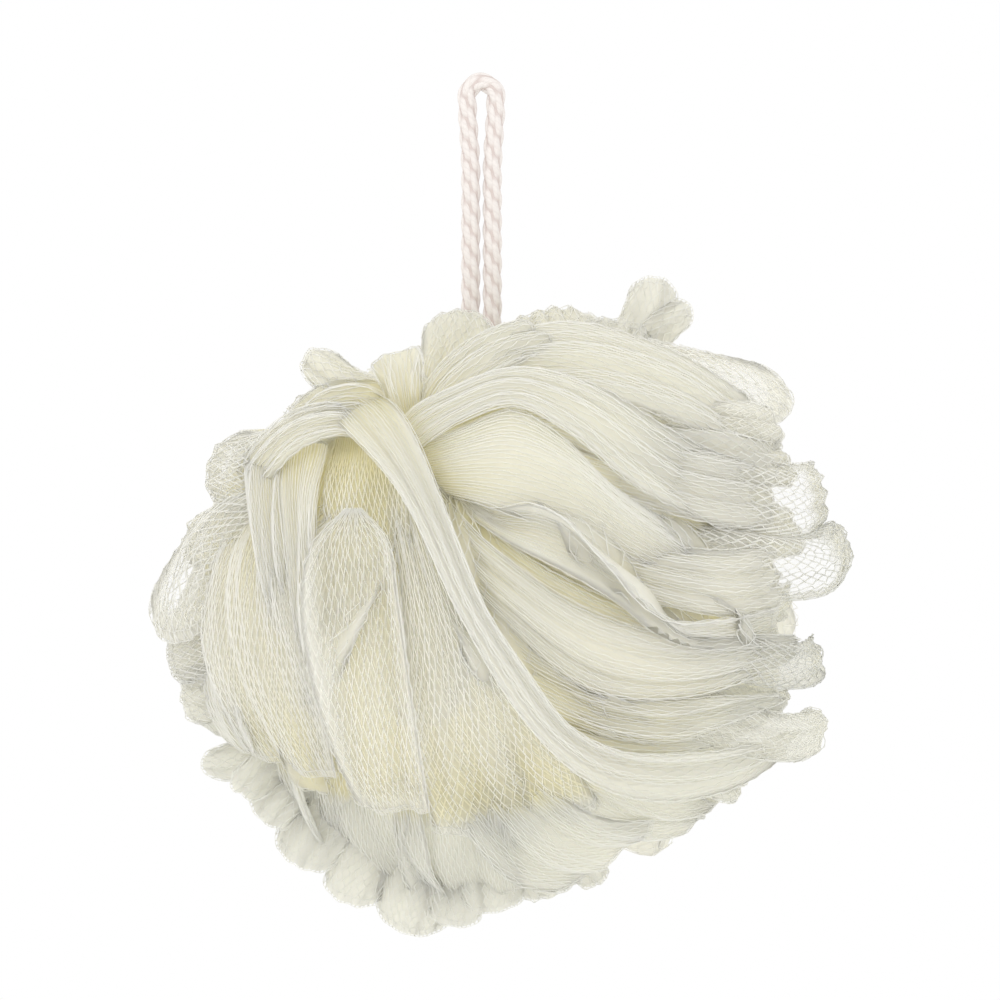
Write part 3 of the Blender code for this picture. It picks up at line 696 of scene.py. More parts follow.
FRONT_FOLDS = (
    # the long sash through the gather and down to the right
    Fold(
        ((-45.3, 44.2, 62), (-34.2, 38.4, 67), (-20.4, 22.4, 70.5), (-8.4, -1.6, 73),
         (4.4, -22.9, 73.5), (18.2, -36.7, 71), (35.6, -41.6, 69), (48.9, -39.3, 70),
         (63.6, -30.9, 72)),
        ((-36.0, 49.6, 62), (-18.2, 37.1, 68), (-9.1, 14.7, 71.5), (-2.4, -0.7, 73.5),
         (5.8, -13.1, 74), (14.7, -24.7, 73), (23.1, -29.6, 71), (44.4, -30.9, 70),
         (58.7, -28.7, 71.5), (67.1, -26.4, 73)),
        puff=0.9, pleats=2.4, bulge=0.6, roll=1.5, sheer=0.12),
    # the open fan under the gather
    Fold(
        ((-36.0, 36.2, 61), (-38.2, 25.1, 65), (-37.8, 16.2, 66), (-35.6, 5.1, 65)),
        ((-23.1, 36.2, 61), (-19.6, 22.9, 65), (-17.8, 11.8, 66), (-17.8, 0.7, 65)),
        puff=0.6, pleats=1.5, bulge=0.5, roll=0.6, sheer=0.7),
    # the open sheet under it
    Fold(
        ((-28.4, 33.6, 60), (-22.2, 9.6, 66), (-19.1, -21.6, 69), (-14.2, -51.8, 67)),
        ((-21.3, 34.4, 60), (-8.4, 6.2, 66), (7.1, -21.6, 69), (24.0, -45.1, 67)),
        puff=0.7, pleats=3, bulge=2.2, sheer=0.6, tangle=0.3),
    # the hooded petal left of the open sheet
    Fold(
        ((-33.3, 21.1, 67), (-40.0, 13.6, 69.5), (-42.2, 0.7, 72), (-40.7, -12.7, 74),
         (-35.8, -29.6, 73), (-29.1, -45.1, 70)),
        ((-29.8, 21.1, 67), (-22.7, 12.7, 69.5), (-20.7, 0.7, 70.5), (-19.1, -10.4, 71.5),
         (-16.4, -29.3, 71), (-13.8, -45.1, 69)),
        puff=0.8, pleats=1.6, bulge=2, hollow=6, roll=2.6, sheer=0.72, clear_from=-0.25, tangle=0.34),
    # the broad left petal
    Fold(
        ((-52.9, 26.0, 60), (-61.8, 8.2, 67.5), (-64.4, -10.4, 70.5), (-56.4, -32.7, 69)),
        ((-44.4, 23.8, 60), (-43.6, 5.1, 68), (-39.1, -14.9, 70.5), (-33.3, -39.8, 68.5)),
        puff=0.7, pleats=2.4, bulge=2.2, sheer=0.45, tangle=0.26),
    # narrow folds between the petals
    Fold(
        ((-47.3, 34.9, 65), (-47.1, 20.7, 68.5), (-44.4, 0.7, 69.5), (-40.4, -24.2, 69)),
        ((-37.6, 34.9, 65), (-40.0, 20.7, 68.5), (-39.6, 0.7, 69.5), (-35.6, -24.2, 69)),
        puff=1.3, pleats=1, bulge=0.6, hollow=3, roll=1.6),
    Fold(
        ((-55.6, 34.9, 63), (-54.7, 25.1, 67), (-52.0, 9.6, 67.5), (-48.4, -8.2, 67)),
        ((-46.7, 34.9, 64), (-47.6, 25.1, 67), (-45.8, 9.6, 67.5), (-42.7, -8.2, 67)),
        puff=1.3, pleats=1.5, roll=1.2),
    # the curled leaf right of the sash
    Fold(
        ((-13.3, 30.0, 61), (-0.4, 21.1, 68), (6.7, 22.4, 72.5), (13.3, 19.8, 74.5), (20.0, 13.3, 75),
         (26.2, 7.3, 75), (31.1, 2.0, 75), (36.0, -2.0, 73.5), (46.7, -2.0, 71.5), (60.9, 0.7, 71)),
        ((-12.0, 22.9, 61), (0.4, 15.3, 67), (6.2, 11.8, 69.5), (13.3, 8.2, 70.5), (20.4, 4.7, 71),
         (27.1, 0.7, 71), (33.3, -3.8, 71), (39.1, -7.3, 70.5), (48.0, -9.1, 68), (60.0, -8.2, 67)),
        puff=0.7, pleats=0.8, bulge=0, hollow=5, roll=2.4, sheer=0.25),
    # broad bands that run on to the right of the sash
    Fold(
        ((-16.0, 28.7, 62), (-0.9, 12.7, 67), (17.8, 0.2, 68.5), (36.4, -5.6, 69), (53.3, -6.0, 69),
         (65.8, -6.4, 72.5)),
        ((-13.3, 14.0, 61), (1.3, -4.2, 65.5), (20.9, -19.3, 66), (39.1, -20.2, 66),
         (53.3, -16.2, 67.5), (65.8, -10.0, 72)),
        puff=0.7, pleats=3, bulge=2.4, roll=1.2, sheer=0.15),
    Fold(
        ((-2.2, 0.7, 60), (13.3, -13.6, 64.5), (32.9, -19.3, 66), (51.1, -18.9, 68),
         (62.2, -18.9, 71.5)),
        ((2.2, -14.9, 60), (20.0, -29.1, 64), (37.8, -31.3, 66), (53.3, -27.3, 68),
         (63.1, -22.0, 71.5)),
        puff=0.8, pleats=2.4, bulge=1.2, roll=1.2, sheer=0.3),
    # the dome right of the gather
    Fold(
        ((-18.7, 34.9, 62), (-8.4, 38.4, 68), (3.1, 42.4, 71.5), (13.3, 36.7, 71), (23.1, 26.9, 69),
         (44.4, 14.0, 67)),
        ((-14.2, 24.7, 60), (-5.8, 22.4, 66), (4.9, 18.4, 67.5), (16.4, 15.8, 68), (28.4, 10.0, 67.5),
         (45.3, 2.9, 66)),
        puff=0.7, pleats=1.4, bulge=3.6, roll=0.8),
    # the ribbon over the dome
    Fold(
        ((-23.1, 38.4, 61), (-18.7, 42.9, 65), (-9.8, 46.9, 70), (4.4, 50.9, 73), (20.0, 47.3, 72.5),
         (34.7, 38.4, 70), (52.4, 30.0, 70)),
        ((-19.1, 32.7, 61), (-15.6, 35.3, 66), (-7.6, 39.8, 70.5), (3.1, 42.9, 73.5),
         (13.8, 37.6, 73.5), (27.1, 26.4, 71), (50.7, 14.4, 68)),
        pleats=3, roll=1.8, sheer=0.12),
    # sheets up to the right
    Fold(
        ((-23.1, 42.4, 60), (-9.8, 53.6, 65), (10.7, 60.7, 69), (33.3, 56.2, 72), (57.3, 42.4, 74)),
        ((-18.7, 37.6, 60), (-5.3, 45.6, 65), (14.7, 46.4, 69), (35.6, 40.7, 70), (58.2, 29.6, 72)),
        puff=0.8, pleats=2.4, bulge=1.8, roll=1.2, sheer=0.3),
    Fold(
        ((13.3, 40.7, 61), (26.7, 37.1, 66), (42.2, 33.6, 70), (59.6, 31.3, 72)),
        ((13.3, 27.3, 61), (26.7, 22.9, 66), (42.2, 18.4, 69), (60.4, 16.2, 71)),
        puff=0.8, pleats=3, bulge=1.4, roll=1.2, sheer=0.35),
    Fold(
        ((17.8, 18.4, 61), (31.1, 14.0, 66), (44.4, 12.2, 69), (60.0, 13.6, 71)),
        ((17.8, 7.3, 61), (31.1, 1.6, 66), (44.4, -2.0, 69), (62.2, -1.6, 71)),
        puff=0.8, pleats=3, bulge=1.4, roll=1.2, sheer=0.3),
    # layers low on the right
    Fold(
        ((0.0, -8.2, 58), (19.6, -29.6, 63), (36.4, -36.7, 66), (52.9, -38.9, 68)),
        ((-6.7, -19.3, 58), (12.4, -42.9, 63), (28.9, -50.9, 66), (40.9, -50.4, 68)),
        puff=0.8, pleats=2.4, bulge=1.4, sheer=0.2),
    Fold(
        ((-4.4, -14.9, 56), (10.2, -37.1, 63.5), (24.0, -46.0, 66.5), (37.3, -46.4, 69)),
        ((-15.6, -21.6, 56), (-8.4, -46.4, 63.5), (2.2, -59.3, 66), (16.0, -63.3, 68)),
        puff=0.7, pleats=2.4, bulge=1.2, sheer=0.15),
    # layers along the bottom
    Fold(
        ((-42.2, -17.1, 57), (-46.2, -39.3, 63), (-43.1, -52.7, 66), (-36.4, -62.0, 69)),
        ((-20.0, -21.6, 57), (-16.9, -43.8, 64), (-13.3, -58.4, 66), (-9.3, -65.6, 68)),
        puff=0.7, pleats=2.4, bulge=1.2, sheer=0.15),
    Fold(
        ((-63.6, -3.8, 57), (-61.8, -21.6, 63), (-56.0, -37.1, 66), (-49.3, -48.7, 69)),
        ((-46.2, -12.7, 57), (-43.6, -34.9, 64), (-38.7, -50.0, 66), (-34.2, -57.6, 68)),
        puff=0.7, bulge=1.2, sheer=0.15),
    Fold(
        ((-23.1, -21.6, 56), (-23.1, -43.8, 63), (-21.8, -55.8, 65), (-19.1, -64.2, 68)),
        ((0.0, -21.6, 56), (2.7, -41.6, 63), (4.9, -54.9, 65), (5.3, -63.3, 68)),
        puff=0.7, pleats=2.4, bulge=1.2, sheer=0.15),
    Fold(
        ((-67.6, 9.6, 58), (-71.1, -3.8, 64), (-69.8, -17.1, 68), (-65.3, -28.2, 71)),
        ((-55.6, 7.3, 58), (-57.8, -8.2, 65), (-55.6, -23.8, 69), (-51.1, -34.9, 70)),
        puff=0.7, bulge=1.2, sheer=0.2),
    # folds that turn left from the gather
    Fold(
        ((-25.8, 40.7, 61), (-35.6, 43.3, 66), (-44.4, 41.1, 68), (-52.4, 34.9, 67), (-57.8, 26.9, 64)),
        ((-24.9, 35.3, 61), (-34.4, 36.2, 66.5), (-41.8, 34.0, 68), (-48.4, 27.8, 67),
         (-52.9, 21.6, 64)),
        puff=0.9, pleats=2.4, bulge=1.4, roll=1.2),
    Fold(
        ((-21.3, 44.2, 60), (-28.4, 48.2, 63), (-37.8, 47.3, 66), (-46.7, 41.6, 67)),
        ((-20.9, 38.0, 60), (-29.8, 40.7, 64), (-38.7, 38.9, 66), (-44.4, 34.0, 66)),
        puff=0.9, roll=1.2),
    # folds that climb from the gather
    Fold(
        ((-23.1, 40.7, 61), (-24.9, 46.9, 64), (-27.1, 50.9, 66), (-29.8, 53.6, 68)),
        ((-16.9, 40.7, 61), (-16.0, 48.7, 66), (-15.6, 54.0, 69), (-16.0, 57.6, 71)),
        bulge=1.2, roll=1.2, sheer=0.1),
    Fold(
        ((-19.1, 39.8, 60), (-14.7, 48.7, 65), (-5.8, 57.6, 69), (4.4, 63.3, 72)),
        ((-15.6, 36.2, 60), (-8.4, 42.9, 65), (1.8, 50.0, 68), (14.7, 56.2, 70)),
        puff=0.9, pleats=2.4, bulge=1.4, sheer=0.1),
    # broad layers that close the gaps under the folds
    Fold(
        ((-15.6, 36.2, 62), (8.9, 36.2, 66.5), (33.3, 29.6, 66.5), (60.0, 22.9, 66)),
        ((-13.3, 25.1, 62), (4.4, 11.8, 66), (26.7, 0.7, 66.5), (60.0, -1.6, 67)),
        puff=0.8, pleats=5, bulge=1.5, roll=0),
    Fold(
        ((-13.3, 27.3, 62), (8.9, 9.6, 65.5), (33.3, -1.6, 66), (62.2, -3.8, 68)),
        ((-17.8, 9.6, 61), (0.0, -17.1, 65.5), (26.7, -30.4, 65.5), (61.3, -26.9, 67)),
        puff=0.8, pleats=5, bulge=1.5, roll=0),
    Fold(
        ((-57.8, 38.4, 60), (-65.8, 14.0, 66), (-66.7, -8.2, 67), (-60.0, -28.2, 67)),
        ((-33.3, 38.4, 60), (-37.8, 14.0, 66.5), (-37.8, -8.2, 67), (-33.3, -32.7, 66)),
        puff=0.8, pleats=5, bulge=1.5, roll=0),
    Fold(
        ((-37.8, 29.6, 60), (-37.8, 0.7, 66), (-40.0, -26.0, 66.5), (-40.0, -50.4, 66)),
        ((-13.3, 29.6, 60), (-4.4, 0.7, 66), (2.2, -26.0, 66.5), (8.9, -52.7, 66)),
        puff=0.8, pleats=5, bulge=1.5, roll=0),
    Fold(
        ((-15.6, 40.7, 61), (8.9, 51.8, 66), (33.3, 47.3, 67), (55.6, 38.4, 68)),
        ((-15.6, 31.8, 61), (8.9, 36.2, 66.5), (33.3, 25.1, 67), (56.9, 14.0, 68)),
        puff=0.8, pleats=5, bulge=1.5, roll=0),
)


@dataclass(frozen=True)
class Ring:
    """A ring of ruffles round the far side's gather, with angles from it in radians.

    Attributes:
        count: Ruffles in the ring.
        neck: Angle of the necks.
        mid: Angle of the middles.
        tip: Angle of the tips.
        mid_reach: Distance of the middles from the ball's middle, drawn units.
        tip_reach: Distance of the tips.
        half_width: Half a ruffle's width.
    """

    count: int
    neck: float
    mid: float
    tip: float
    mid_reach: float
    tip_reach: float
    half_width: float


class Side(Enum):
    """The parts of the ball, by how closely their net is drawn."""

    NEAR = "near"
    FRONT = "front"
    UNDER = "under"
    FAR = "far"


@dataclass
class Sleeve:
    """A ruffle as a closed sleeve of net on a curved spine, in drawn units about the ball's middle.

    Attributes:
        points: Four points of the spine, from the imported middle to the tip.
        facing: The way that the ruffle's front ply looks at its middle.
        half_width: Half its width where it is open.
        blunt: How round its tip is, as a share of its half width.
        wrap: How much its width curls round the ball.
        wave: How much its edges wave.
        puff: Its thickness beside a plain ruffle's.
        turn: Where its waves start, so that no two ruffles are alike.
        sheer: How far its tip can be seen through.
        side: The side of the ball that it is on.
        thickness_unit: A plain ruffle's thickness.
        neck_width: Its width at the gathers.
        opening_share: The share along it over which it opens to its full width.
        curl_radius: Radius of the curl across it.
        edge_waves: Waves along each edge.
        edge_wave_height: Height of those waves.
        neck_thickness_share: Its thickness at the gathers, as a share of its full thickness.
        rim_start: The share along it from which it closes.
        rim_closed: How far it has closed at the rim, where 1 would leave no thickness.
        lens_power: How full its section is: 1 for an ellipse, less for a fuller one.
        pleat_height: Height of the pleats.
        pleat_width: Width of a pleat.
        scallop: Depth of the scallops round its rim.
        clear_from: The share along it from which its net clears.
        tangle: How far its threads stray, as a share of a cell.
        backed_from: How squarely its tip's face may look outwards before its rear is hidden.
        stations: Places along the spine at which its face direction is worked out.
    """

    points: np.ndarray
    facing: np.ndarray
    half_width: float
    blunt: float
    wrap: float
    wave: float
    puff: float
    turn: float
    sheer: float
    side: Side

    thickness_unit: float = 3.6
    neck_width: float = 8.5
    opening_share: float = 0.6
    curl_radius: float = 66.0
    edge_waves: float = 2.75
    edge_wave_height: float = 1.6
    neck_thickness_share: float = 0.55
    rim_start: float = 0.72
    rim_closed: float = 0.999
    lens_power: float = 0.8
    pleat_height: float = 0.6
    pleat_width: float = 4.2
    scallop: float = 0.25
    clear_from: float = 0.45
    tangle: float = 0.14
    backed_from: float = 0.72
    stations: int = 33

    def __post_init__(self) -> None:
        """Works out the knots, the length and the face directions along the spine."""
        chords = np.linalg.norm(np.diff(self.points, axis=0), axis=1)
        self.knots = np.concatenate(((0.0,), np.cumsum(chords)))
        self.length = float(self.knots[-1])
        self.steps = np.linspace(0.0, self.length, self.stations)
        self.cap = min(self.blunt * self.half_width, 0.45 * self.length)
        self.pleats = max(2.0, round(2.0 * self.half_width / self.pleat_width))
        self.faces = self._carried_faces()

    def spine(self, run: np.ndarray) -> np.ndarray:
        """Points of the one cubic through the four spine points, at distances along it."""
        total = np.zeros(run.shape + (3,))
        for index, knot in enumerate(self.knots):
            weight = np.ones(run.shape)
            for other, other_knot in enumerate(self.knots):
                if other != index:
                    weight = weight * (run - other_knot) / (knot - other_knot)
            total += weight[..., None] * self.points[index]
        return total

    def heading(self, run: np.ndarray) -> np.ndarray:
        """The spine's direction, from the points half a unit before and after."""
        return unit(self.spine(run + 0.5) - self.spine(run - 0.5))

    def _carried_faces(self) -> np.ndarray:
        """Face directions at the stations, carried both ways from the middle without twist."""
        headings = self.heading(self.steps)
        faces = np.zeros_like(headings)
        start = int(np.argmin(np.abs(self.steps - self.knots[2])))
        for order in (range(start, -1, -1), range(start, self.stations)):
            face = unit(self.facing)
            for index in order:
                face = unit(face - np.dot(face, headings[index]) * headings[index])
                faces[index] = face
        return faces

    def even_angles(self, count: int) -> np.ndarray:
        """Angles round the section that lie evenly along its outline, an ellipse.

        Args:
            count: How many angles.

        Returns:
            The angles, from 0 up to less than a full turn.
        """
        angles = np.linspace(0.0, 2.0 * math.pi, 721)
        thick = self.half_thickness()
        pace = np.hypot(self.half_width * np.sin(angles), thick * np.cos(angles))
        walked = np.concatenate(((0.0,), np.cumsum(0.5 * (pace[1:] + pace[:-1]))))
        return np.interp(np.arange(count) / count * walked[-1], walked, angles)

    def half_thickness(self) -> float:
        """Half its thickness where it is open, drawn units."""
        return 0.5 * self.puff * self.thickness_unit

    def outline(self) -> float:
        """The length of the outline round its open section, drawn units."""
        thick = self.half_thickness()
        return (4.0 * max(self.half_width, thick)
                + (2.0 * math.pi - 4.0) * min(self.half_width, thick))

    def surface(self, around: np.ndarray, along: np.ndarray, inset: float = 0.0) -> np.ndarray:
        """Points of the sleeve.

        The section is a flat oval, its half width times the cosine of the angle across and its
        half thickness times the sine out, carried along the spine. It curls with the ball, waves
        at its edges, is pleated across, and closes at the rim as a quarter circle does.

        Args:
            around: Angle round the section.
            along: Share of the way from the root to the rim.
            inset: How far inside the net the points lie, drawn units.

        Returns:
            The points, in drawn units about the ball's middle.
        """
        across = np.cos(around)
        pleat_phase = self.pleat_phase(across, along)
        scallop = self.scallop * (0.5 + 0.5 * np.cos(pleat_phase + self.turn))
        reach = self.length - self.cap * (1.0 - np.sqrt(np.clip(1.0 - across ** 2, 0.0, 1.0)))
        run = along * (reach - scallop * along ** 4 - inset)
        middle = self.spine(run)
        ahead = self.heading(run)
        face = np.stack([np.interp(run, self.steps, self.faces[:, axis]) for axis in range(3)], -1)
        width_way = unit(np.cross(ahead, face))
        face_way = np.cross(width_way, ahead)
        free = self.length - self.knots[1]
        opening = smooth_step((run - self.knots[1]) / (self.opening_share * free))
        neck = self.neck_width / 2.0
        sideways = across * (neck + (self.half_width - neck) * opening - inset)
        phase = 2.0 * math.pi * self.edge_waves * along + self.turn
        edge_wave = self.edge_wave_height * self.wave * np.sin(phase) * across * opening
        droop = -self.wrap * sideways ** 2 / (2.0 * self.curl_radius)
        pleat = np.cos(pleat_phase) + 0.5 * np.cos(2.3 * pleat_phase + 2.0 * self.turn)
        lift = self.lens(around, along, opening, inset) + droop + edge_wave
        lift = lift + self.pleat_height * pleat * (0.4 + 0.6 * opening)
        return middle + sideways[..., None] * width_way + lift[..., None] * face_way

    def lens(self, around: np.ndarray, along: np.ndarray, opening: np.ndarray,
             inset: float) -> np.ndarray:
        """How far each point lies before or behind the sleeve's middle surface.

        It is half the thickness times a power of the sine of the angle round, swells as the
        sleeve opens, and falls to the rim as a quarter circle does.

        Args:
            around: Angle round the section.
            along: Share of the way from the root to the rim.
            opening: How far the sleeve has opened, 0 to 1.
            inset: How far inside the net the points lie, drawn units.

        Returns:
            The distances, in drawn units, less than 0 behind.
        """
        rise = np.sign(np.sin(around)) * np.abs(np.sin(around)) ** self.lens_power
        toward_rim = np.clip((along - self.rim_start) / (1.0 - self.rim_start), 0.0, 1.0)
        closing = np.sqrt(1.0 - self.rim_closed * toward_rim ** 2)
        swell = self.neck_thickness_share + (1.0 - self.neck_thickness_share) * opening
        thick = self.half_thickness() * rise * closing * swell
        return thick - inset * np.sign(thick) * np.minimum(np.abs(thick), 1.0)

    def pleat_phase(self, across: np.ndarray, along: np.ndarray) -> np.ndarray:
        """Where each point lies in the pleats, a full turn for each pleat, bending along it."""
        return math.pi * self.pleats * across + 1.2 * np.sin(2.6 * along + self.turn)

    def painted_crest_highlight(self, around: np.ndarray, along: np.ndarray) -> np.ndarray:
        """Where the painted highlight goes: how much each point lies on a pleat's top or on a folded
        edge, 0 to 1.
        """
        across = np.cos(around)
        outward = np.where(np.sin(around) < 0.0, -1.0, 1.0)
        pleat = 0.5 + 0.5 * outward * np.cos(self.pleat_phase(across, along))
        edge = np.maximum(np.abs(across) ** 6, smooth_step((along - 0.93) / 0.07))
        return np.maximum(0.8 * pleat ** 2, edge)

    def openness(self, along: np.ndarray) -> np.ndarray:
        """How far the cells are pulled open, from 0.45 at the gathers to 1."""
        return 0.45 + 0.55 * smooth_step(along / 0.6)

    def backed(self) -> bool:
        """Whether the rear ply lies against the ball, where nothing shows of it."""
        return float(np.dot(self.faces[-1], unit(self.points[-1]))) > self.backed_from

    def showing_from(self, buried: float) -> float:
        """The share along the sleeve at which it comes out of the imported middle.

        Args:
            buried: Distance from the ball's middle under which nothing shows.

        Returns:
            The share, from 0 to 0.9.
        """
        shares = np.linspace(0.0, 1.0, 60)
        out = np.linalg.norm(self.spine(shares * self.length), axis=-1) > buried
        return float(min(shares[int(np.argmax(out))], 0.9))


@dataclass
class FoldSleeve(Sleeve):
    """A fold as a closed sleeve of net between two edge curves.

    Attributes:
        fold: The fold's own shape.
        edges: Its two edges, as points in drawn units about the ball's middle.
        opening_share: The share along it over which it opens to its full thickness.
        neck_thickness_share: Its thickness at the gathers, as a share of its full thickness.
        scallop: Depth of the scallops round its rim.
        fold_cap: How far its corners are rounded back from the rim.
        hollow_place: The share along it at which its hollow is deepest.
        hollow_spread: The share along it over which its hollow fades.
        slope_step: The share along it over which its direction is measured.
        wide_openness: How far a clear fold's cells open past those at its gathers.
        hazy_openness: The same for a hazy fold.
    """

    fold: Fold | None = None
    edges: tuple = ()

    opening_share: float = 0.3
    neck_thickness_share: float = 0.5
    scallop: float = 1.1
    fold_cap: float = 5.0
    slope_step: float = 0.01
    wide_openness: float = 0.75
    hazy_openness: float = 0.4
    hollow_place: float = 0.42
    hollow_spread: float = 0.26

    def __post_init__(self) -> None:
        """Orders the edges so that the sleeve faces outwards, and measures it."""
        shares = np.linspace(0.0, 1.0, 41)
        first, second = (smooth_path(edge, shares) for edge in self.edges)
        middle = 0.5 * (first + second)
        out = np.cross(first[20] - second[20], middle[21] - middle[20])
        if np.dot(out, middle[20]) < 0.0:
            self.edges = self.edges[::-1]
        self.length = float(np.sum(np.linalg.norm(np.diff(middle, axis=0), axis=1)))
        self.half_width = float(np.mean(np.linalg.norm(first - second, axis=1))) / 2.0
        self.cap = self.fold_cap
        self.pleats = self.fold.pleats
        self.clear_from = self.fold.clear_from
        self.tangle = self.fold.tangle

    def surface(self, around: np.ndarray, along: np.ndarray, inset: float = 0.0) -> np.ndarray:
        """Points of the fold, between its edges at each share along it.

        The section is a flat oval whose edges roll up a little. It stands out in the middle,
        sinks into its hollow where it has one, is pleated, and closes at the rim as a quarter
        circle does.

        Args:
            around: Angle round the section.
            along: Share of the way from the root to the rim.
            inset: How far inside the net the points lie, drawn units.

        Returns:
            The points, in drawn units about the ball's middle.
        """
        across = np.cos(around)
        phase = self.pleat_phase(across, along)
        corner = self.cap * (1.0 - np.sqrt(np.clip(1.0 - across ** 4, 0.0, 1.0)))
        scallop = self.scallop * (0.5 + 0.5 * np.cos(phase + self.turn))
        run = along * (1.0 - (corner + scallop * along ** 4 + inset) / self.length)
        first, second = (smooth_path(edge, run) for edge in self.edges)
        middle = 0.5 * (first + second)
        half = 0.5 * (first - second)
        width = np.linalg.norm(half, axis=-1)
        before = sum(smooth_path(edge, run - self.slope_step) for edge in self.edges)
        after = sum(smooth_path(edge, run + self.slope_step) for edge in self.edges)
        face_way = unit(np.cross(unit(half), after - before))
        opening = smooth_step(run / self.opening_share)
        domed = 1.0 - across ** 2
        sunk = np.exp(-((along - self.hollow_place) / self.hollow_spread) ** 2)
        pleat = np.cos(phase) + 0.45 * np.cos(2.3 * phase + 2.0 * self.turn)
        lift = domed * (self.fold.bulge * np.sin(math.pi * run) - self.fold.hollow * sunk)
        lift = lift + self.lens(around, along, opening, inset)
        lift = lift + (self.fold.roll * across ** 6 + self.pleat_height * pleat) * opening
        sideways = across * (1.0 - inset / np.maximum(width, 1.0))
        return middle + sideways[..., None] * half + lift[..., None] * face_way

    def pleat_phase(self, across: np.ndarray, along: np.ndarray) -> np.ndarray:
        """Where each point lies in the pleats, which fan out and bend along the fold."""
        bend = 1.1 * np.sin(3.4 * along + self.turn) + 0.7 * np.sin(7.1 * along + 2.0 * self.turn)
        return math.pi * self.pleats * across + bend

    def openness(self, along: np.ndarray) -> np.ndarray:
        """How far the cells are pulled open, from 0.15 at the gathers, least in a hazy fold."""
        most = self.wide_openness if self.sheer >= 0.4 else self.hazy_openness
        return 0.15 + most * smooth_step((along - self.clear_from + 0.02) / 0.55)

    def backed(self) -> bool:
        """A fold's rear ply always lies against the ball."""
        return True

    def showing_from(self, buried: float) -> float:
        """A fold shows along its whole length."""
        return 0.0


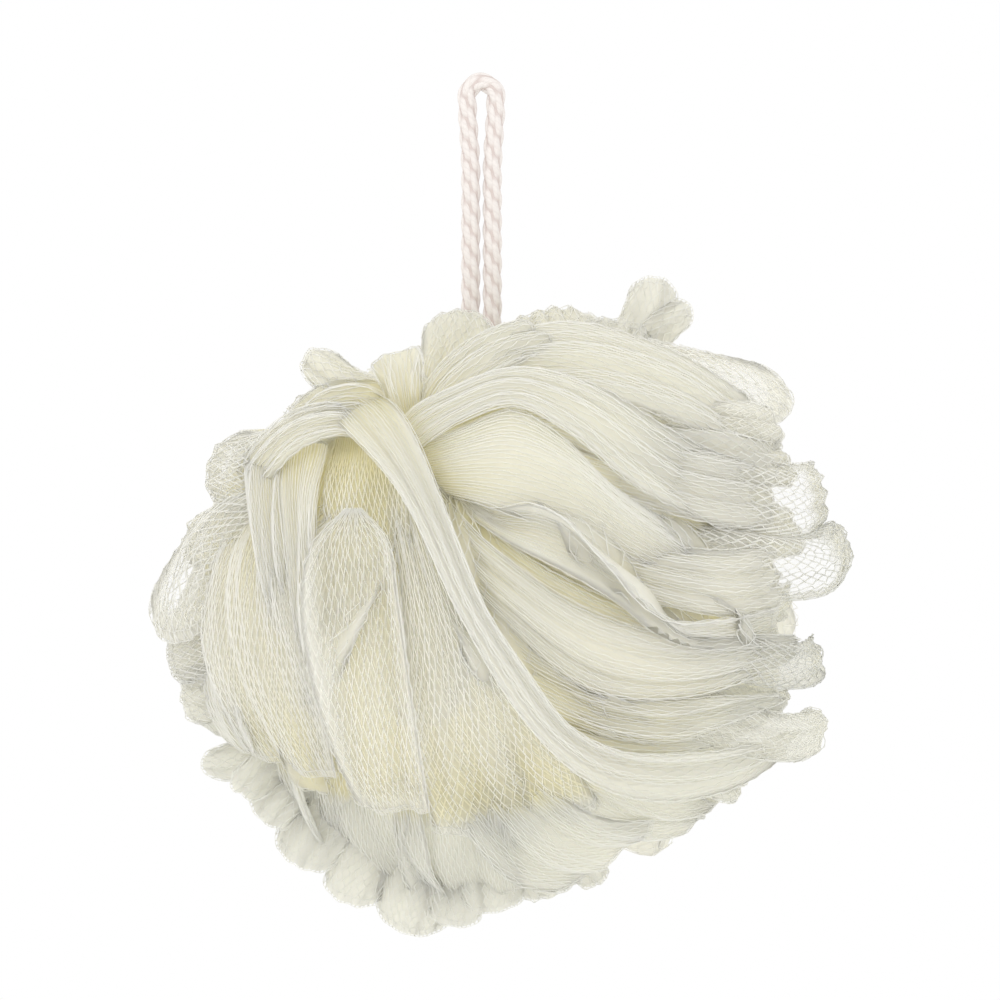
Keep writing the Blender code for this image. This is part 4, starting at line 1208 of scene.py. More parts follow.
@dataclass
class Netting:
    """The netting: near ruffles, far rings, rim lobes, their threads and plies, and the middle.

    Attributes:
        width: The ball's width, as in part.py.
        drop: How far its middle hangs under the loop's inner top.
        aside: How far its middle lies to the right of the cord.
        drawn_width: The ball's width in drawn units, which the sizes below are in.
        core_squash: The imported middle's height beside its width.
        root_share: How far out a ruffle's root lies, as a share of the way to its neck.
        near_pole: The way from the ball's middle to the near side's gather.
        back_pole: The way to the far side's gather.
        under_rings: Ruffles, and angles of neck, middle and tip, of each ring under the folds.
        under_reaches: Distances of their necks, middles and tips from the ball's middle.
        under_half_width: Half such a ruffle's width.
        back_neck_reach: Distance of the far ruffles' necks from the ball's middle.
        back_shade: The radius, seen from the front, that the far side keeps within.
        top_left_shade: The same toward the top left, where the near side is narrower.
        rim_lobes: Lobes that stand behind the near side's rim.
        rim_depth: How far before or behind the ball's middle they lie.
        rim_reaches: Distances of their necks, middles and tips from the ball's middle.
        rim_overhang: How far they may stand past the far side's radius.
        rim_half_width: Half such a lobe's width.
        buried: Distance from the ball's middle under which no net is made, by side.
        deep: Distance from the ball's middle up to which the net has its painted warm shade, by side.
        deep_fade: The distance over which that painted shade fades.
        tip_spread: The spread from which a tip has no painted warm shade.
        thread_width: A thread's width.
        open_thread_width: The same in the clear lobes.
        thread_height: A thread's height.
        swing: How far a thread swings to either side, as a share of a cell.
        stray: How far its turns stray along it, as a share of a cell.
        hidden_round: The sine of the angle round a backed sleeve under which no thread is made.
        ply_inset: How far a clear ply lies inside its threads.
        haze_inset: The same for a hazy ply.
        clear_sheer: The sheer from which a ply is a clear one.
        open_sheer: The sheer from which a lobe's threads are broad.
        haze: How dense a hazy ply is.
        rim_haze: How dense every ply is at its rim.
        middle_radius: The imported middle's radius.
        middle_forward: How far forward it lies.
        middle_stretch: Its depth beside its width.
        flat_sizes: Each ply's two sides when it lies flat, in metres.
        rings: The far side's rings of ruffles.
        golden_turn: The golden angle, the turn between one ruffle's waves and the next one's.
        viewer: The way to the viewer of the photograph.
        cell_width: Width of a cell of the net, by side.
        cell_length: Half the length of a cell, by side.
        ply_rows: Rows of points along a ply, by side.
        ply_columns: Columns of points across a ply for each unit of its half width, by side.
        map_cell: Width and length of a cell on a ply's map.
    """

    width: float = 0.150
    drop: float = 0.1136
    aside: float = 0.0041
    drawn_width: float = 150.0
    core_squash: float = 0.96
    root_share: float = 0.55
    near_pole: Vector3 = (-0.23, -0.74, 0.63)
    back_pole: Vector3 = (0.12, 0.96, -0.25)
    under_rings: tuple = ((11, 0.20, 0.62, 1.05), (15, 0.62, 1.02, 1.48))
    under_reaches: Vector3 = (58.0, 63.5, 62.0)
    under_half_width: float = 13.0
    back_neck_reach: float = 50.0
    back_shade: float = 50.5
    top_left_shade: float = 43.0
    rim_lobes: int = 27
    rim_depth: float = 16.0
    rim_reaches: Vector3 = (37.0, 52.0, 60.0)
    rim_overhang: float = 3.5
    rim_half_width: float = 11.5
    buried: dict = field(default_factory=lambda: {
        Side.NEAR: 53.0, Side.FRONT: 50.0, Side.UNDER: 52.0, Side.FAR: 46.0})
    deep: dict = field(default_factory=lambda: {
        Side.NEAR: 51.0, Side.FRONT: 60.0, Side.UNDER: 60.0, Side.FAR: 45.0})
    deep_fade: float = 12.0
    tip_spread: float = 0.8
    thread_width: float = 0.22
    open_thread_width: float = 0.36
    thread_height: float = 0.17
    swing: float = 0.46
    stray: float = 0.2
    hidden_round: float = -0.55
    ply_inset: float = 0.28
    haze_inset: float = 0.26
    clear_sheer: float = 0.4
    open_sheer: float = 0.6
    haze: float = 0.78
    rim_haze: float = 0.82
    middle_radius: float = 50.0
    middle_forward: float = 6.0
    middle_stretch: float = 1.1

    flat_sizes = ((0.30, 0.28), (0.12, 0.14), (0.30, 0.20))
    rings = (
        Ring(19, 0.62, 1.12, 1.72, 61.0, 60.0, 10.5),
        Ring(16, 0.42, 0.84, 1.34, 65.0, 67.0, 10.0),
        Ring(11, 0.22, 0.52, 0.98, 66.0, 71.0, 9.5),
        Ring(6, 0.06, 0.22, 0.56, 63.0, 70.0, 8.5),
    )
    golden_turn = math.pi * (3.0 - math.sqrt(5.0))
    viewer = np.array((0.0, -1.0, 0.0))
    cell_width = {Side.NEAR: 0.92, Side.FRONT: 0.72, Side.UNDER: 1.6, Side.FAR: 1.5}
    cell_length = {Side.NEAR: 1.7, Side.FRONT: 2.7, Side.UNDER: 3.0, Side.FAR: 2.8}
    ply_rows = {Side.NEAR: 24, Side.FRONT: 36, Side.UNDER: 16, Side.FAR: 16}
    ply_columns = {Side.NEAR: 1.6, Side.FRONT: 1.6, Side.UNDER: 1.1, Side.FAR: 1.1}
    map_cell = (2.4, 5.5)

    def to_metres(self, drawn: np.ndarray) -> np.ndarray:
        """Drawn points about the ball's middle as points of the row frame, in metres."""
        centre = np.array((self.aside, 0.0, -self.drop))
        return centre + drawn * (self.width / self.drawn_width)

    @staticmethod
    def near_point(place: Vector3) -> np.ndarray:
        """A drawn place, x, z and distance from the middle, as a point of the near side."""
        x, z, reach = place
        return np.array((x, -math.sqrt(max(reach * reach - x * x - z * z, 0.0)), z))

    @staticmethod
    def about(pole: np.ndarray, angle: float, round_it: float, reach: float) -> np.ndarray:
        """A drawn point at an angle from a gather, an angle round it and a distance out."""
        side = unit(np.cross(pole, (0.0, 0.0, 1.0)))
        over = np.cross(side, pole)
        out = math.cos(round_it) * side + math.sin(round_it) * over
        return reach * (math.cos(angle) * pole + math.sin(angle) * out)

    def chance(self, number: int, index: int) -> tuple[float, float]:
        """Two numbers from -1 to 1 that make each ruffle of a ring a little unlike the others."""
        return (math.sin(self.golden_turn * (index * 3 + number * 5 + 1)),
                math.cos(self.golden_turn * (index * 5 + number * 7 + 2)))

    def rooted(self, places: tuple | list) -> np.ndarray:
        """A ruffle's neck, middle and tip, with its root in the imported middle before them."""
        return np.array([self.root_share * places[0], *places])

    def tucked(self, point: np.ndarray, inset: float = 0.0) -> np.ndarray:
        """A far point drawn in until it lies behind the near side, as seen from the front."""
        spread = math.hypot(point[0], point[2])
        toward_top_left = max(point[2] - point[0], 0.0) / (math.sqrt(2.0) * spread)
        drawn_in = (self.top_left_shade - self.back_shade) * toward_top_left ** 4
        shade = self.back_shade + drawn_in - inset
        if spread > shade:
            point = point * np.array((shade / spread, 1.0, shade / spread))
        return point

    def near_sleeves(self) -> list[Sleeve]:
        """The near side's ruffles as sleeves."""
        made = []
        for index, ruffle in enumerate(NEAR_RUFFLES):
            places = [self.near_point(place) for place in (ruffle.neck, ruffle.mid, ruffle.tip)]
            made.append(Sleeve(self.rooted(places), unit(places[1]) + self.viewer,
                               ruffle.half_width, ruffle.blunt, ruffle.wrap, ruffle.wave,
                               ruffle.puff, index * self.golden_turn, ruffle.sheer, Side.NEAR))
        return made

    def ring_sleeves(self) -> list[Sleeve]:
        """The far side's rings of ruffles, spread round the second gather as part.py has them."""
        pole = unit(np.array(self.back_pole))
        made = []
        for number, ring in enumerate(self.rings):
            for index in range(ring.count):
                swing, sway = self.chance(number, index)
                start = 2.0 * math.pi * (index + 0.37 * number) / ring.count + 0.12 * swing
                bend = start + 0.20 * sway
                neck = self.about(pole, ring.neck, start, self.back_neck_reach)
                mid = self.about(pole, ring.mid + 0.05 * sway, bend, ring.mid_reach + 2.5 * swing)
                tip = self.about(pole, ring.tip + 0.10 * swing, bend + 0.22 * swing,
                                 ring.tip_reach + 3.0 * sway)
                places = (neck, self.tucked(mid, 1.5), self.tucked(tip))
                lean = 0.75 * math.sin(self.golden_turn * (index * 2 + number + 1))
                facing = unit(places[1]) + lean * unit(np.cross(pole, places[1]))
                made.append(Sleeve(self.rooted(places), facing,
                                   ring.half_width * (1.0 + 0.25 * sway), 0.9 + 0.3 * swing, 1.0,
                                   1.1 + 0.5 * sway, 1.15 + 0.3 * swing,
                                   len(made) * self.golden_turn, 0.35, Side.FAR))
        return made

    def front_sleeves(self) -> list[Sleeve]:
        """The broad folds over the front as sleeves."""
        made = []
        for index, fold in enumerate(FRONT_FOLDS):
            edges = tuple(np.array([self.near_point(place) for place in edge])
                          for edge in (fold.first, fold.second))
            points = 0.5 * (edges[0][:1] + edges[1][:1])
            made.append(FoldSleeve(points, self.viewer, 1.0, 1.0, 0.0, 0.0, fold.puff,
                                   (index + 3) * self.golden_turn, fold.sheer, Side.FRONT,
                                   fold=fold, edges=edges))
        return made

    def under_sleeves(self) -> list[Sleeve]:
        """Thin ruffles that lie under the near side's, spread round its gather in two rings."""
        pole = unit(np.array(self.near_pole))
        made = []
        for number, (count, neck, mid, tip) in enumerate(self.under_rings):
            for index in range(count):
                swing, sway = self.chance(number, index)
                start = 2.0 * math.pi * (index + 0.5 * number) / count + 0.1 * swing
                reaches = np.array(self.under_reaches) + (0.0, swing, 2.0 * sway)
                places = [self.tucked(self.about(pole, angle, start + bend, reach), -2.0)
                          for angle, bend, reach in zip((neck, mid, tip),
                                                        (0.0, 0.15 * sway, 0.3 * sway), reaches)]
                facing = unit(places[1]) + 0.5 * swing * unit(np.cross(pole, places[1]))
                made.append(Sleeve(self.rooted(places), facing, self.under_half_width + 3.0 * sway,
                                   0.9, 1.0, 1.5 + swing, 0.9, index * self.golden_turn, 0.0,
                                   Side.UNDER))
        return made

    def rim_sleeves(self, before: int) -> list[Sleeve]:
        """Lobes that stand out behind the near side's rim, all the way round it.

        Args:
            before: How many far ruffles come before them, which sets where their waves start.

        Returns:
            The lobes as sleeves.
        """
        made = []
        for index in range(self.rim_lobes):
            swing = math.sin(self.golden_turn * (index * 3 + 2))
            round_it = 2.0 * math.pi * (index + 0.25 * swing) / self.rim_lobes
            way = np.array((math.cos(round_it), 0.0, math.sin(round_it)))
            depth = np.array((0.0, self.rim_depth * swing, 0.0))
            neck, mid, tip = self.rim_reaches
            places = (neck * way + 0.2 * depth, mid * way + 0.7 * depth,
                      self.tucked(tip * way, -self.rim_overhang) + depth)
            lean = math.cos(self.golden_turn * (index * 4 + 1))
            facing = np.array((0.0, 1.0, 0.0)) + 0.8 * lean * np.cross(way, self.viewer)
            made.append(Sleeve(self.rooted(places), facing,
                               self.rim_half_width * (1.0 + 0.15 * swing), 0.8, 1.0, 2.0, 1.9,
                               (before + index) * self.golden_turn, 0.3, Side.FAR))
        return made

    def out_of_painted_shade(self, points: np.ndarray, side: Side) -> np.ndarray:
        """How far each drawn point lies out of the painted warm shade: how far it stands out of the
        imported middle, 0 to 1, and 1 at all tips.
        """
        reach = np.linalg.norm(points, axis=-1)
        out = smooth_step((reach - self.deep[side]) / self.deep_fade)
        return np.maximum(out, smooth_step((self.spread(points) - self.tip_spread) / 0.12))

    def spread(self, points: np.ndarray) -> np.ndarray:
        """How far each drawn point lies from the nearer of the two gathers, 0 to 1, by angle."""
        poles = np.stack([unit(np.array(self.near_pole)), unit(np.array(self.back_pole))], -1)
        nearness = np.max(points @ poles, axis=-1) / np.linalg.norm(points, axis=-1)
        return np.clip(np.arccos(np.clip(nearness, -1.0, 1.0)) / 1.7, 0.0, 1.0)

    def sleeve_threads(self, sleeve: Sleeve) -> Patch:
        """The threads of one sleeve, each a three-sided strand that zigzags along it.

        A thread keeps its angle round the sleeve but for a half cell to one side at one row and
        to the other at the next, so it meets its two neighbours in turn.

        Args:
            sleeve: The ruffle.

        Returns:
            The threads, and the strands that bind the sleeve's rim.
        """
        side = sleeve.side
        threads = 2 * max(5, round(sleeve.outline() / (2.0 * self.cell_width[side])))
        first = sleeve.showing_from(self.buried[side])
        shown = sleeve.length * (1.0 - first)
        rows = 2 * max(3, round(shown / (2.0 * self.cell_length[side]))) + 1
        angles = sleeve.even_angles(threads)
        sway = (np.roll(angles, -1) - np.roll(angles, 1)) % (2.0 * math.pi) / 2.0
        row, column = np.meshgrid(np.arange(rows), np.arange(threads), indexing="ij")
        at_rim = row == rows - 1
        flick = np.where((row + column) % 2 == 0, self.swing, -self.swing) * ~at_rim
        flick = flick * sleeve.openness(first + (1.0 - first) * row / (rows - 1))
        jitter = np.sin(12.9 * row + 7.7 * column + 5.0 * sleeve.turn) * ~at_rim * sleeve.tangle
        around = angles[None, :] + sway[None, :] * (flick + jitter)
        shift = self.stray * np.sin(3.1 * column + 9.1 * row + sleeve.turn) * ~at_rim
        along = first + (1.0 - first) * np.clip(row + shift, 0.0, None) / (rows - 1)
        kept = (np.sin(angles) > self.hidden_round) | (not sleeve.backed())
        nets = self.strands(sleeve, around[:, kept], along[:, kept])
        edge = np.linspace(0.02, math.pi - 0.02, 22)
        around = np.stack([edge, edge, -edge], -1)
        along = np.stack([np.ones(22), np.full(22, 0.975), np.full(22, 0.975)], -1)
        rims = self.strands(sleeve, around, along)
        drawn = np.concatenate([nets[0], rims[0]])
        quads = np.concatenate([nets[1], rims[1] + len(nets[0])])
        return Patch(self.to_metres(drawn), quads, {
            "out_of_painted_shade": self.out_of_painted_shade(drawn, side), "spread": self.spread(drawn)})

    def strands(self, sleeve: Sleeve, around: np.ndarray,
                along: np.ndarray) -> tuple[np.ndarray, np.ndarray]:
        """Three-sided strands on a sleeve, one for each column of places.

        Args:
            sleeve: The ruffle.
            around: Angles round the section, a row for each step along the strands.
            along: Shares of the way from root to rim, in the same layout.

        Returns:
            Drawn points and quads.
        """
        points = sleeve.surface(around, along)
        over = sleeve.surface(around + 0.02, along) - sleeve.surface(around - 0.02, along)
        inward = sleeve.surface(around, along, 0.2)
        ahead = unit(np.gradient(points, axis=0))
        out = np.cross(ahead, over)
        out = unit(np.where(np.linalg.norm(out, axis=-1, keepdims=True) < 0.01,
                            points - inward, out))
        out = out * np.where(np.sum(out * (points - inward), -1, keepdims=True) < 0.0, -1.0, 1.0)
        over = np.cross(out, ahead)
        broad = sleeve.side is Side.NEAR and sleeve.sheer >= self.open_sheer
        half = 0.5 * (self.open_thread_width if broad else self.thread_width)
        height = self.thread_height
        section = np.stack([points - half * over, points + half * over, points + height * out], 2)
        rows, count = around.shape
        number = np.arange(rows * count * 3).reshape(rows, count, 3)
        after = np.roll(number, -1, axis=2)
        quads = np.stack([number[:-1], after[:-1], after[1:], number[1:]], -1).reshape(-1, 4)
        return section.reshape(-1, 3), quads

    def sleeve_ply(self, sleeve: Sleeve) -> Patch:
        """The close inner ply of one sleeve.

        Args:
            sleeve: The ruffle.

        Returns:
            The ply, with its map.
        """
        columns = 2 * int(max(9, round(self.ply_columns[sleeve.side] * sleeve.half_width)))
        rows = self.ply_rows[sleeve.side]
        first = max(0.0, sleeve.showing_from(self.buried[sleeve.side]) - 0.02)
        angles = sleeve.even_angles(columns)
        share = np.linspace(0.0, 1.0, rows)
        share = 0.55 * share + 0.45 * np.sin(0.5 * math.pi * share)
        along = first + (1.0 - first) * share
        around, where = np.meshgrid(angles, along, indexing="xy")
        hazy = sleeve.sheer < self.clear_sheer
        drawn = sleeve.surface(around, where, self.haze_inset if hazy else self.ply_inset)
        cells_round = 2.0 * round(sleeve.outline() / self.map_cell[0])
        corners = sleeve_map(np.arange(columns + 1) / columns * cells_round,
                             where[:, 0] * sleeve.length / self.map_cell[1])
        toward_tip = smooth_step((where - sleeve.clear_from) / 0.30)
        rim = np.maximum(smooth_step((where - 0.90) / 0.08), np.abs(np.cos(around)) ** 10)
        veil = (self.haze if hazy else 1.0) - 0.95 * sleeve.sheer * toward_tip
        veil = veil + (self.rim_haze - veil) * rim
        numbers = {"out_of_painted_shade": self.out_of_painted_shade(drawn, sleeve.side), "spread": self.spread(drawn),
                   "veil": veil, "painted_crest_highlight": sleeve.painted_crest_highlight(around, where)}
        return Patch(self.to_metres(drawn.reshape(-1, 3)), sleeve_faces(rows, columns),
                     {name: values.ravel() for name, values in numbers.items()}, corners)

    def thread_piece(self, name: str, sleeves: list[Sleeve],
                     material: bpy.types.Material) -> bpy.types.Object:
        """Joins the threads of several sleeves into one piece."""
        return joined_piece(name, [self.sleeve_threads(sleeve) for sleeve in sleeves], material, False)

    def ply_piece(self, name: str, sleeves: list[Sleeve],
                  material: bpy.types.Material) -> bpy.types.Object:
        """Joins the inner plies of several sleeves into one piece."""
        return joined_piece(name, [self.sleeve_ply(sleeve) for sleeve in sleeves], material)

    def middle_piece(self, material: bpy.types.Material) -> bpy.types.Object:
        """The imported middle: a ball whose radius swells and sinks as creases that run down it.

        The radius is the middle's own, plus two sines of the angle round it that bend with height.

        Args:
            material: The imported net's material.

        Returns:
            The piece.
        """
        rows = 48
        columns = 120
        height = np.linspace(0.02, math.pi - 0.02, rows)[:, None]
        round_it = (2.0 * math.pi * np.arange(columns) / columns)[None, :]
        crease = 0.9 * np.sin(23.0 * round_it + 2.5 * np.sin(3.0 * height))
        crease = crease + 0.7 * np.sin(9.0 * round_it - 4.0 * height)
        radius = self.middle_radius + crease * np.sin(height)
        drawn = np.stack(np.broadcast_arrays(
            radius * np.sin(height) * np.cos(round_it),
            self.middle_stretch * radius * np.sin(height) * np.sin(round_it)
            - self.middle_forward,
            -radius * np.cos(height) * self.core_squash,
        ), -1).reshape(-1, 3)
        pole = radius.mean() * self.core_squash
        poles = np.array(((0.0, -self.middle_forward, -pole), (0.0, -self.middle_forward, pole)))
        quads = sleeve_faces(rows, columns)
        round_number = np.arange(columns)
        after = (round_number + 1) % columns
        low = rows * columns
        top = low - columns
        bottom_fan = np.stack([np.full(columns, low), after, round_number], -1)
        top_fan = np.stack([np.full(columns, low + 1), top + round_number, top + after], -1)
        triangles = np.concatenate([
            quads[:, (0, 1, 2)], quads[:, (0, 2, 3)], bottom_fan, top_fan])
        points = self.to_metres(np.concatenate([drawn, poles]))
        return mesh_piece("netting_packed_middle", points, triangles, material)

    def build(self) -> list[bpy.types.Object]:
        """Builds every piece of the netting.

        Returns:
            The pieces.
        """
        near = self.near_sleeves()
        rings = self.ring_sleeves()
        far = rings + self.rim_sleeves(len(rings))
        front = self.front_sleeves()
        under = self.under_sleeves()
        clear = [sleeve for sleeve in near if sleeve.sheer >= self.open_sheer]
        lobes = [sleeve for sleeve in near if sleeve.sheer < self.open_sheer]
        thread = NetThreadFinish().material("net_thread")
        # The clear lobes' threads, with a darker painted grey shade at their tips.
        painted_grey_tip_thread = NetThreadFinish(painted_tip_shade=(0.74, 0.75, 0.735)).material("net_thread_open")
        groups = {"lobes_right": lobes[:15], "lobes_left": lobes[15:], "front_upper": front[::2],
                  "front_lower": front[1::2], "under": under, "back": rings,
                  "rim": far[len(rings):]}
        threads = [self.thread_piece("netting_threads_" + name, sleeves, thread)
                   for name, sleeves in groups.items()]
        threads.append(self.thread_piece("netting_threads_open", clear, painted_grey_tip_thread))
        hazy = NetPlyFinish().material("net_ply", False)
        open_ply = NetPlyFinish().material("net_ply_open", True)
        shown = near + front + under
        plies = [
            self.ply_piece("netting_ply_near", [sleeve for sleeve in shown
                                                if sleeve.sheer < self.clear_sheer], hazy),
            self.ply_piece("netting_ply_open", [sleeve for sleeve in shown
                                                if sleeve.sheer >= self.clear_sheer], open_ply),
            self.ply_piece("netting_ply_far", far, hazy),
        ]
        middle = self.middle_piece(PackedNetFinish().material())
        pieces = [*threads, *plies, middle]
        for piece in pieces:
            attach(piece, "root")
            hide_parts("netting")
            area = sum(polygon.area for polygon in piece.data.polygons)
            faces = len(piece.data.polygons)
            log.info("%s: %d faces, %.4f square metres", piece.name, faces, area)
        return pieces


# The cord


@dataclass
class HangingCord:
    """The plaited cord, from the knot up through the netting, round the loop and back.

    Attributes:
        diameter: The cord's width.
        strand_gap: The gap between its two runs.
        loop_gap: The gap inside the loop's top.
        loop_neck: The height over which the loop narrows.
        knot_height: The height of the knot under it.
        drop: How far the knot's middle hangs under the loop's inner top.
        clearance: The gap between the cord's ends and the knot.
        yarns: Yarns in the plait.
        lay: The length in which a yarn goes once round.
        columns: The columns of stitches that show round the cord.
        yarn_sides: Sides of a yarn's round section.
        yarn_share: A yarn's radius, as a share of the cord's width.
        dip: How far in a yarn lies at its lowest, as a share of the way out to the highest.
        rise: How much further out it lies at its highest, as such a share.
        twists: Turns of a yarn's plies in each metre, on its map.
        knot_ring: The radius of the knot's leaves.
        knot_rise: Half the height of the knot's middle line.
        ring_step: The distance between rings of points along the cord.
        knot_step: The same along the knot.
    """

    diameter: float = 0.0044
    strand_gap: float = 0.0004
    loop_gap: float = 0.0020
    loop_neck: float = 0.017
    knot_height: float = 0.0120
    drop: float = 0.1136
    clearance: float = 0.0003
    yarns: int = 9
    lay: float = 0.0425
    columns: int = 6
    yarn_sides: int = 8
    yarn_share: float = 0.205
    dip: float = 0.66
    rise: float = 0.36
    twists: float = 700.0
    knot_ring: float = 0.00165
    knot_rise: float = 0.0035
    ring_step: float = 0.00055
    knot_step: float = 0.0006

    def route(self, straight_steps: int, bend_steps: int) -> np.ndarray:
        """The middle line: a run up that eases apart, a half circle, and the mirrored run down.

        Args:
            straight_steps: Steps on each run.
            bend_steps: Steps round the loop's top.

        Returns:
            Its points, in metres.
        """
        half_run = (self.diameter + self.strand_gap) / 2.0
        half_loop = (self.diameter + self.loop_gap) / 2.0
        foot = -self.drop + self.knot_height / 2.0 + self.clearance
        corner = self.diameter / 2.0 - half_loop
        height = np.linspace(foot, corner, straight_steps + 1)
        apart = smooth_step((height - corner + self.loop_neck) / self.loop_neck)
        left = half_run + (half_loop - half_run) * apart
        angle = math.pi * (1.0 - np.arange(1, bend_steps) / bend_steps)
        x = np.concatenate((-left, half_loop * np.cos(angle), left[::-1]))
        z = np.concatenate((height, corner + half_loop * np.sin(angle), height[::-1]))
        return np.stack((x, np.zeros_like(x), z), -1)

    @staticmethod
    def evenly(path: np.ndarray, step: float) -> tuple[np.ndarray, np.ndarray]:
        """The same line with points an even step apart, and their distances along it."""
        walked = np.concatenate(((0.0,), np.cumsum(np.linalg.norm(np.diff(path, axis=0), axis=1))))
        count = int(round(walked[-1] / step)) + 1
        at = np.linspace(0.0, walked[-1], count)
        return np.stack([np.interp(at, walked, path[:, axis]) for axis in range(3)], -1), at

    def yarn_tube(self, line: np.ndarray, walked: np.ndarray, proud: np.ndarray,
                  radius: float) -> Patch:
        """One yarn as a round tube with closed ends.

        Args:
            line: Its middle line.
            walked: Distances along the cord.
            proud: How far out it stands at each point, 0 to 1.
            radius: Its radius.

        Returns:
            The yarn, with its map.
        """
        rows = len(line)
        sides = self.yarn_sides
        ahead = unit(np.gradient(line, axis=0))
        out = unit(np.cross(ahead, np.broadcast_to((0.31, 0.90, 0.30), ahead.shape)))
        over = np.cross(ahead, out)
        angle = 2.0 * math.pi * np.arange(sides) / sides
        taper = np.ones(rows)
        taper[0] = taper[-1] = 0.02
        ring = np.cos(angle)[None, :, None] * out[:, None] + np.sin(angle)[None, :, None] * over[:, None]
        points = line[:, None] + radius * taper[:, None, None] * ring
        corners = sleeve_map(np.arange(sides + 1) / sides, walked * self.twists)
        return Patch(points.reshape(-1, 3), sleeve_faces(rows, sides),
                     {"proud": np.repeat(proud, sides)}, corners)

    def plait(self, name: str, path: np.ndarray, step: float,
              material: bpy.types.Material) -> bpy.types.Object:
        """Plaits the yarns round a path.

        Each yarn goes round the path once in a lay, and rises and dips as often as there are
        columns of stitches, so that it shows as a row of slanting stitches.

        Args:
            name: The piece's name.
            path: The middle line of the cord.
            step: The distance between the rings of points.
            material: The yarn's material.

        Returns:
            The plaited cord as one piece.
        """
        line, walked = self.evenly(path, step)
        ahead = unit(np.gradient(line, axis=0))
        over = np.broadcast_to((0.0, 1.0, 0.0), ahead.shape)
        out = unit(np.cross(over, ahead))
        over = np.cross(ahead, out)
        yarn_radius = self.yarn_share * self.diameter
        mean = 0.5 * self.diameter - yarn_radius
        yarns = []
        for yarn in range(self.yarns):
            turn = 2.0 * math.pi * (yarn / self.yarns - walked / self.lay)
            proud = 0.5 + 0.5 * np.cos(self.columns * turn)
            radius = mean * (self.dip + self.rise * proud)
            centre = line + radius[:, None] * (np.cos(turn)[:, None] * out
                                               + np.sin(turn)[:, None] * over)
            yarns.append(self.yarn_tube(centre, walked, proud, yarn_radius))
        return joined_piece(name, yarns, material)

    def knot_path(self) -> np.ndarray:
        """A three-leaved knot: out 2 plus the cosine of 3 t, round by 2 t, up by the sine of 3 t."""
        t = np.linspace(0.0, 2.0 * math.pi, 241)
        radius = self.knot_ring * (2.0 + np.cos(3.0 * t))
        rise = self.knot_rise * np.sin(3.0 * t)
        return np.stack((radius * np.cos(2.0 * t), radius * np.sin(2.0 * t), rise - self.drop), -1)

    def build(self) -> list[bpy.types.Object]:
        """Returns:
            The two pieces.
        """
        yarn = YarnFinish()
        path = self.route(60, 24)
        cord = self.plait("plaited_cord", path, self.ring_step, yarn.material("cord_yarn"))
        knot = self.plait("plaited_knot", self.knot_path(), self.knot_step,
                          yarn.material("knot_yarn"))
        for piece, node in ((cord, "hanging_cord"), (knot, "cord_knot")):
            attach(piece, "root")
            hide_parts(node)
            log.info("%s: %d faces", piece.name, len(piece.data.polygons))
        return [cord, knot]


# The studio


@dataclass(frozen=True)
class Lamp:
    """A square soft light that looks at the ball.

    Attributes:
        name: Its name.
        place: Where it stands.
        size: Its side.
        watts: Its power.
    """

    name: str
    place: Vector3
    size: float
    watts: float

    def build(self, aim: Vector3) -> None:
        """Sets up the lamp.

        Args:
            aim: The place that it looks at.
        """
        data = bpy.data.lights.new(self.name, "AREA")
        data.size = self.size
        data.energy = self.watts
        item = bpy.data.objects.new(self.name, data)
        item.location = self.place
        ahead = unit(np.array(aim) - np.array(self.place))
        item.rotation_euler = (math.acos(-ahead[2]), 0.0,
                               math.atan2(ahead[1], ahead[0]) - math.pi / 2.0)
        bpy.context.scene.collection.objects.link(item)


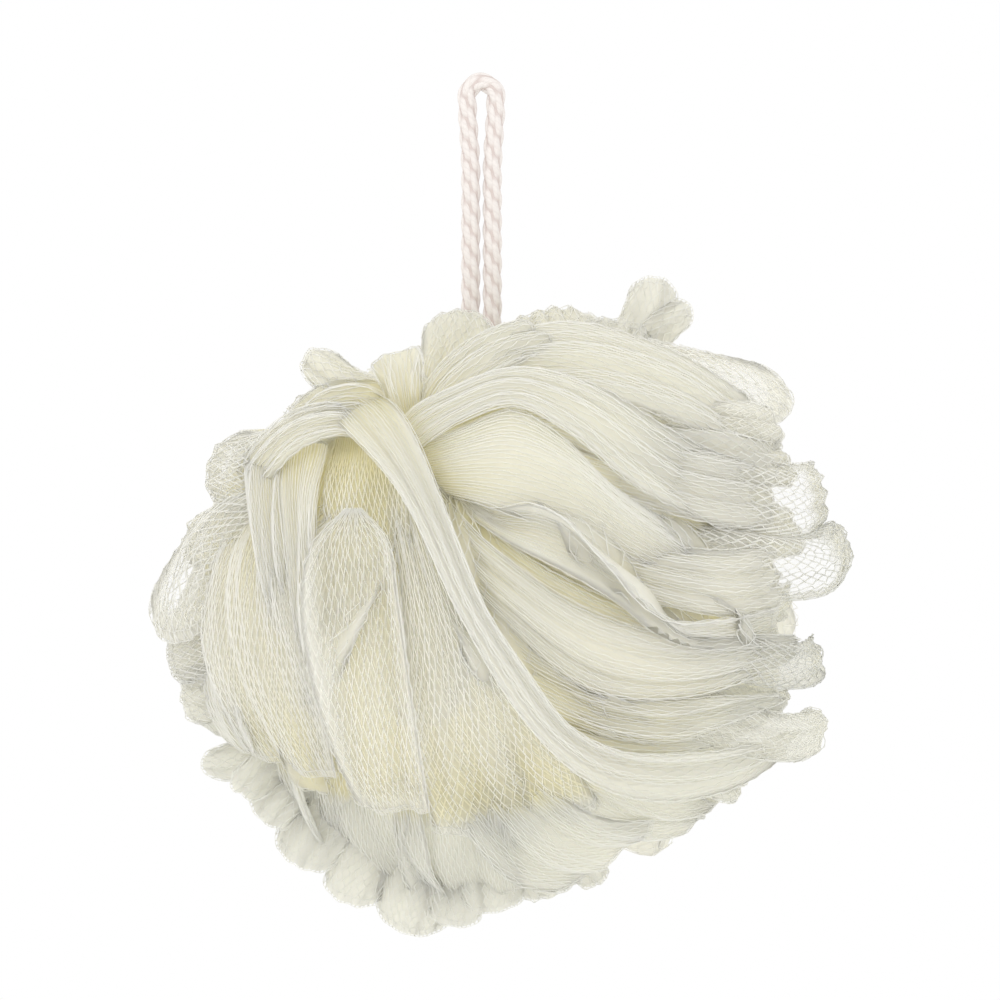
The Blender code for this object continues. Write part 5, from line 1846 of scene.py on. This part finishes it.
@dataclass
class Studio:
    """The camera, lights, world and floor.

    Attributes:
        pixels_a_metre: The photograph's scale at the cord.
        frame_pixels: The photograph's width and height.
        loop_pixel: The pixel of the loop's inner top, in the photograph.
        distance: From the camera to the cord.
        sensor: Width of the camera's sensor, in millimetres.
        floor_level: Height of the floor, well under the hanging pouf.
        floor_radius: The floor's radius.
        aim: The place that the lamps look at.
        soft_light: Strength of the light from all sides.
        clear_passes: How many clear plies a ray may pass through.
        bounces: How often light is passed on in all.
        soft_bounces: How often matte and translucent surfaces pass it on.
        traced_bounces: The bounces that are traced before the soft light stands for the rest.
        crease_reach: How near a surface must be to darken that soft light.
        lamps: The key light from the upper left and the fill light from the lower right.
    """

    pixels_a_metre: float = 4500.0
    frame_pixels: float = 1000.0
    loop_pixel: tuple[float, float] = (481.5, 92.0)
    distance: float = 1.9
    sensor: float = 36.0
    floor_level: float = -0.62
    floor_radius: float = 1.6
    aim: Vector3 = (0.0, 0.0, -0.11)
    soft_light: float = 1.13
    clear_passes: int = 7
    bounces: int = 8
    soft_bounces: int = 6
    traced_bounces: int = 2
    crease_reach: float = 0.0012

    lamps = (Lamp("key", (-0.75, -0.85, 0.55), 0.7, 3.0),
             Lamp("fill", (0.6, -0.95, -0.45), 0.9, 3.0))

    def camera(self) -> None:
        """A camera level with the photograph's middle, looking along +Y."""
        middle = self.frame_pixels / 2.0
        data = bpy.data.cameras.new("camera")
        data.sensor_width = self.sensor
        data.lens = self.sensor * self.distance / (self.frame_pixels / self.pixels_a_metre)
        data.clip_end = 50.0
        item = bpy.data.objects.new("camera", data)
        item.location = ((middle - self.loop_pixel[0]) / self.pixels_a_metre, -self.distance,
                         (self.loop_pixel[1] - middle) / self.pixels_a_metre)
        item.rotation_euler = (math.pi / 2.0, 0.0, 0.0)
        bpy.context.scene.collection.objects.link(item)
        bpy.context.scene.camera = item

    def world(self) -> None:
        """Soft white light from all sides, and plain white behind the object."""
        made = bpy.data.worlds.new("studio")
        bpy.context.scene.world = made
        book = NodeBook(made)
        seen = book.node("ShaderNodeLightPath", output="Is Camera Ray")
        glossy = Shade(book, seen.socket.node.outputs["Is Glossy Ray"])
        clear = Shade(book, seen.socket.node.outputs["Is Transmission Ray"])
        share = seen.most(glossy).most(clear)
        plain = (1.0, 1.0, 1.0, 1.0)
        soft = book.node("ShaderNodeBackground", sockets={0: plain, 1: self.soft_light})
        white = book.node("ShaderNodeBackground", sockets={0: plain, 1: 1.0})
        mixed = book.node("ShaderNodeMixShader", sockets={0: share, 1: soft, 2: white})
        book.node("ShaderNodeOutputWorld", sockets={"Surface": mixed})

    def floor(self) -> None:
        """A round pale floor."""
        sides = 96
        angle = 2.0 * math.pi * np.arange(sides) / sides
        radii = np.array((0.0001, 0.5 * self.floor_radius, self.floor_radius))[:, None]
        points = np.stack(np.broadcast_arrays(
            radii * np.cos(angle), radii * np.sin(angle), self.floor_level), -1).reshape(-1, 3)
        faces = sleeve_faces(len(radii), sides)[:, ::-1]
        piece = mesh_piece("floor", points, faces, StudioFinish().material())

    def build(self) -> None:
        """Sets up the view, the lights, the world and the floor."""
        self.world()
        for lamp in self.lamps:
            lamp.build(self.aim)
        self.floor()
        scene = bpy.context.scene
        scene.view_settings.view_transform = "Standard"
        scene.cycles.transparent_max_bounces = self.clear_passes
        scene.cycles.max_bounces = self.bounces
        scene.cycles.diffuse_bounces = self.soft_bounces
        scene.cycles.use_fast_gi = True
        scene.cycles.fast_gi_method = "REPLACE"
        scene.cycles.ao_bounces_render = self.traced_bounces
        scene.world.light_settings.ao_factor = 1.0
        scene.world.light_settings.distance = self.crease_reach
        log.info("studio built")


def main() -> None:
    """Builds the scene: the camera and the cord first, then the netting and the studio."""
    logging.basicConfig(level=logging.INFO, format="%(message)s")
    studio = Studio()
    studio.camera()
    HangingCord().build()
    pieces = Netting().build()
    studio.build()
    triangles = sum(len(piece.data.loops) - 2 * len(piece.data.polygons) for piece in pieces)
    log.info("netting: %d triangles", triangles)


if __name__ == "__main__":
    main()
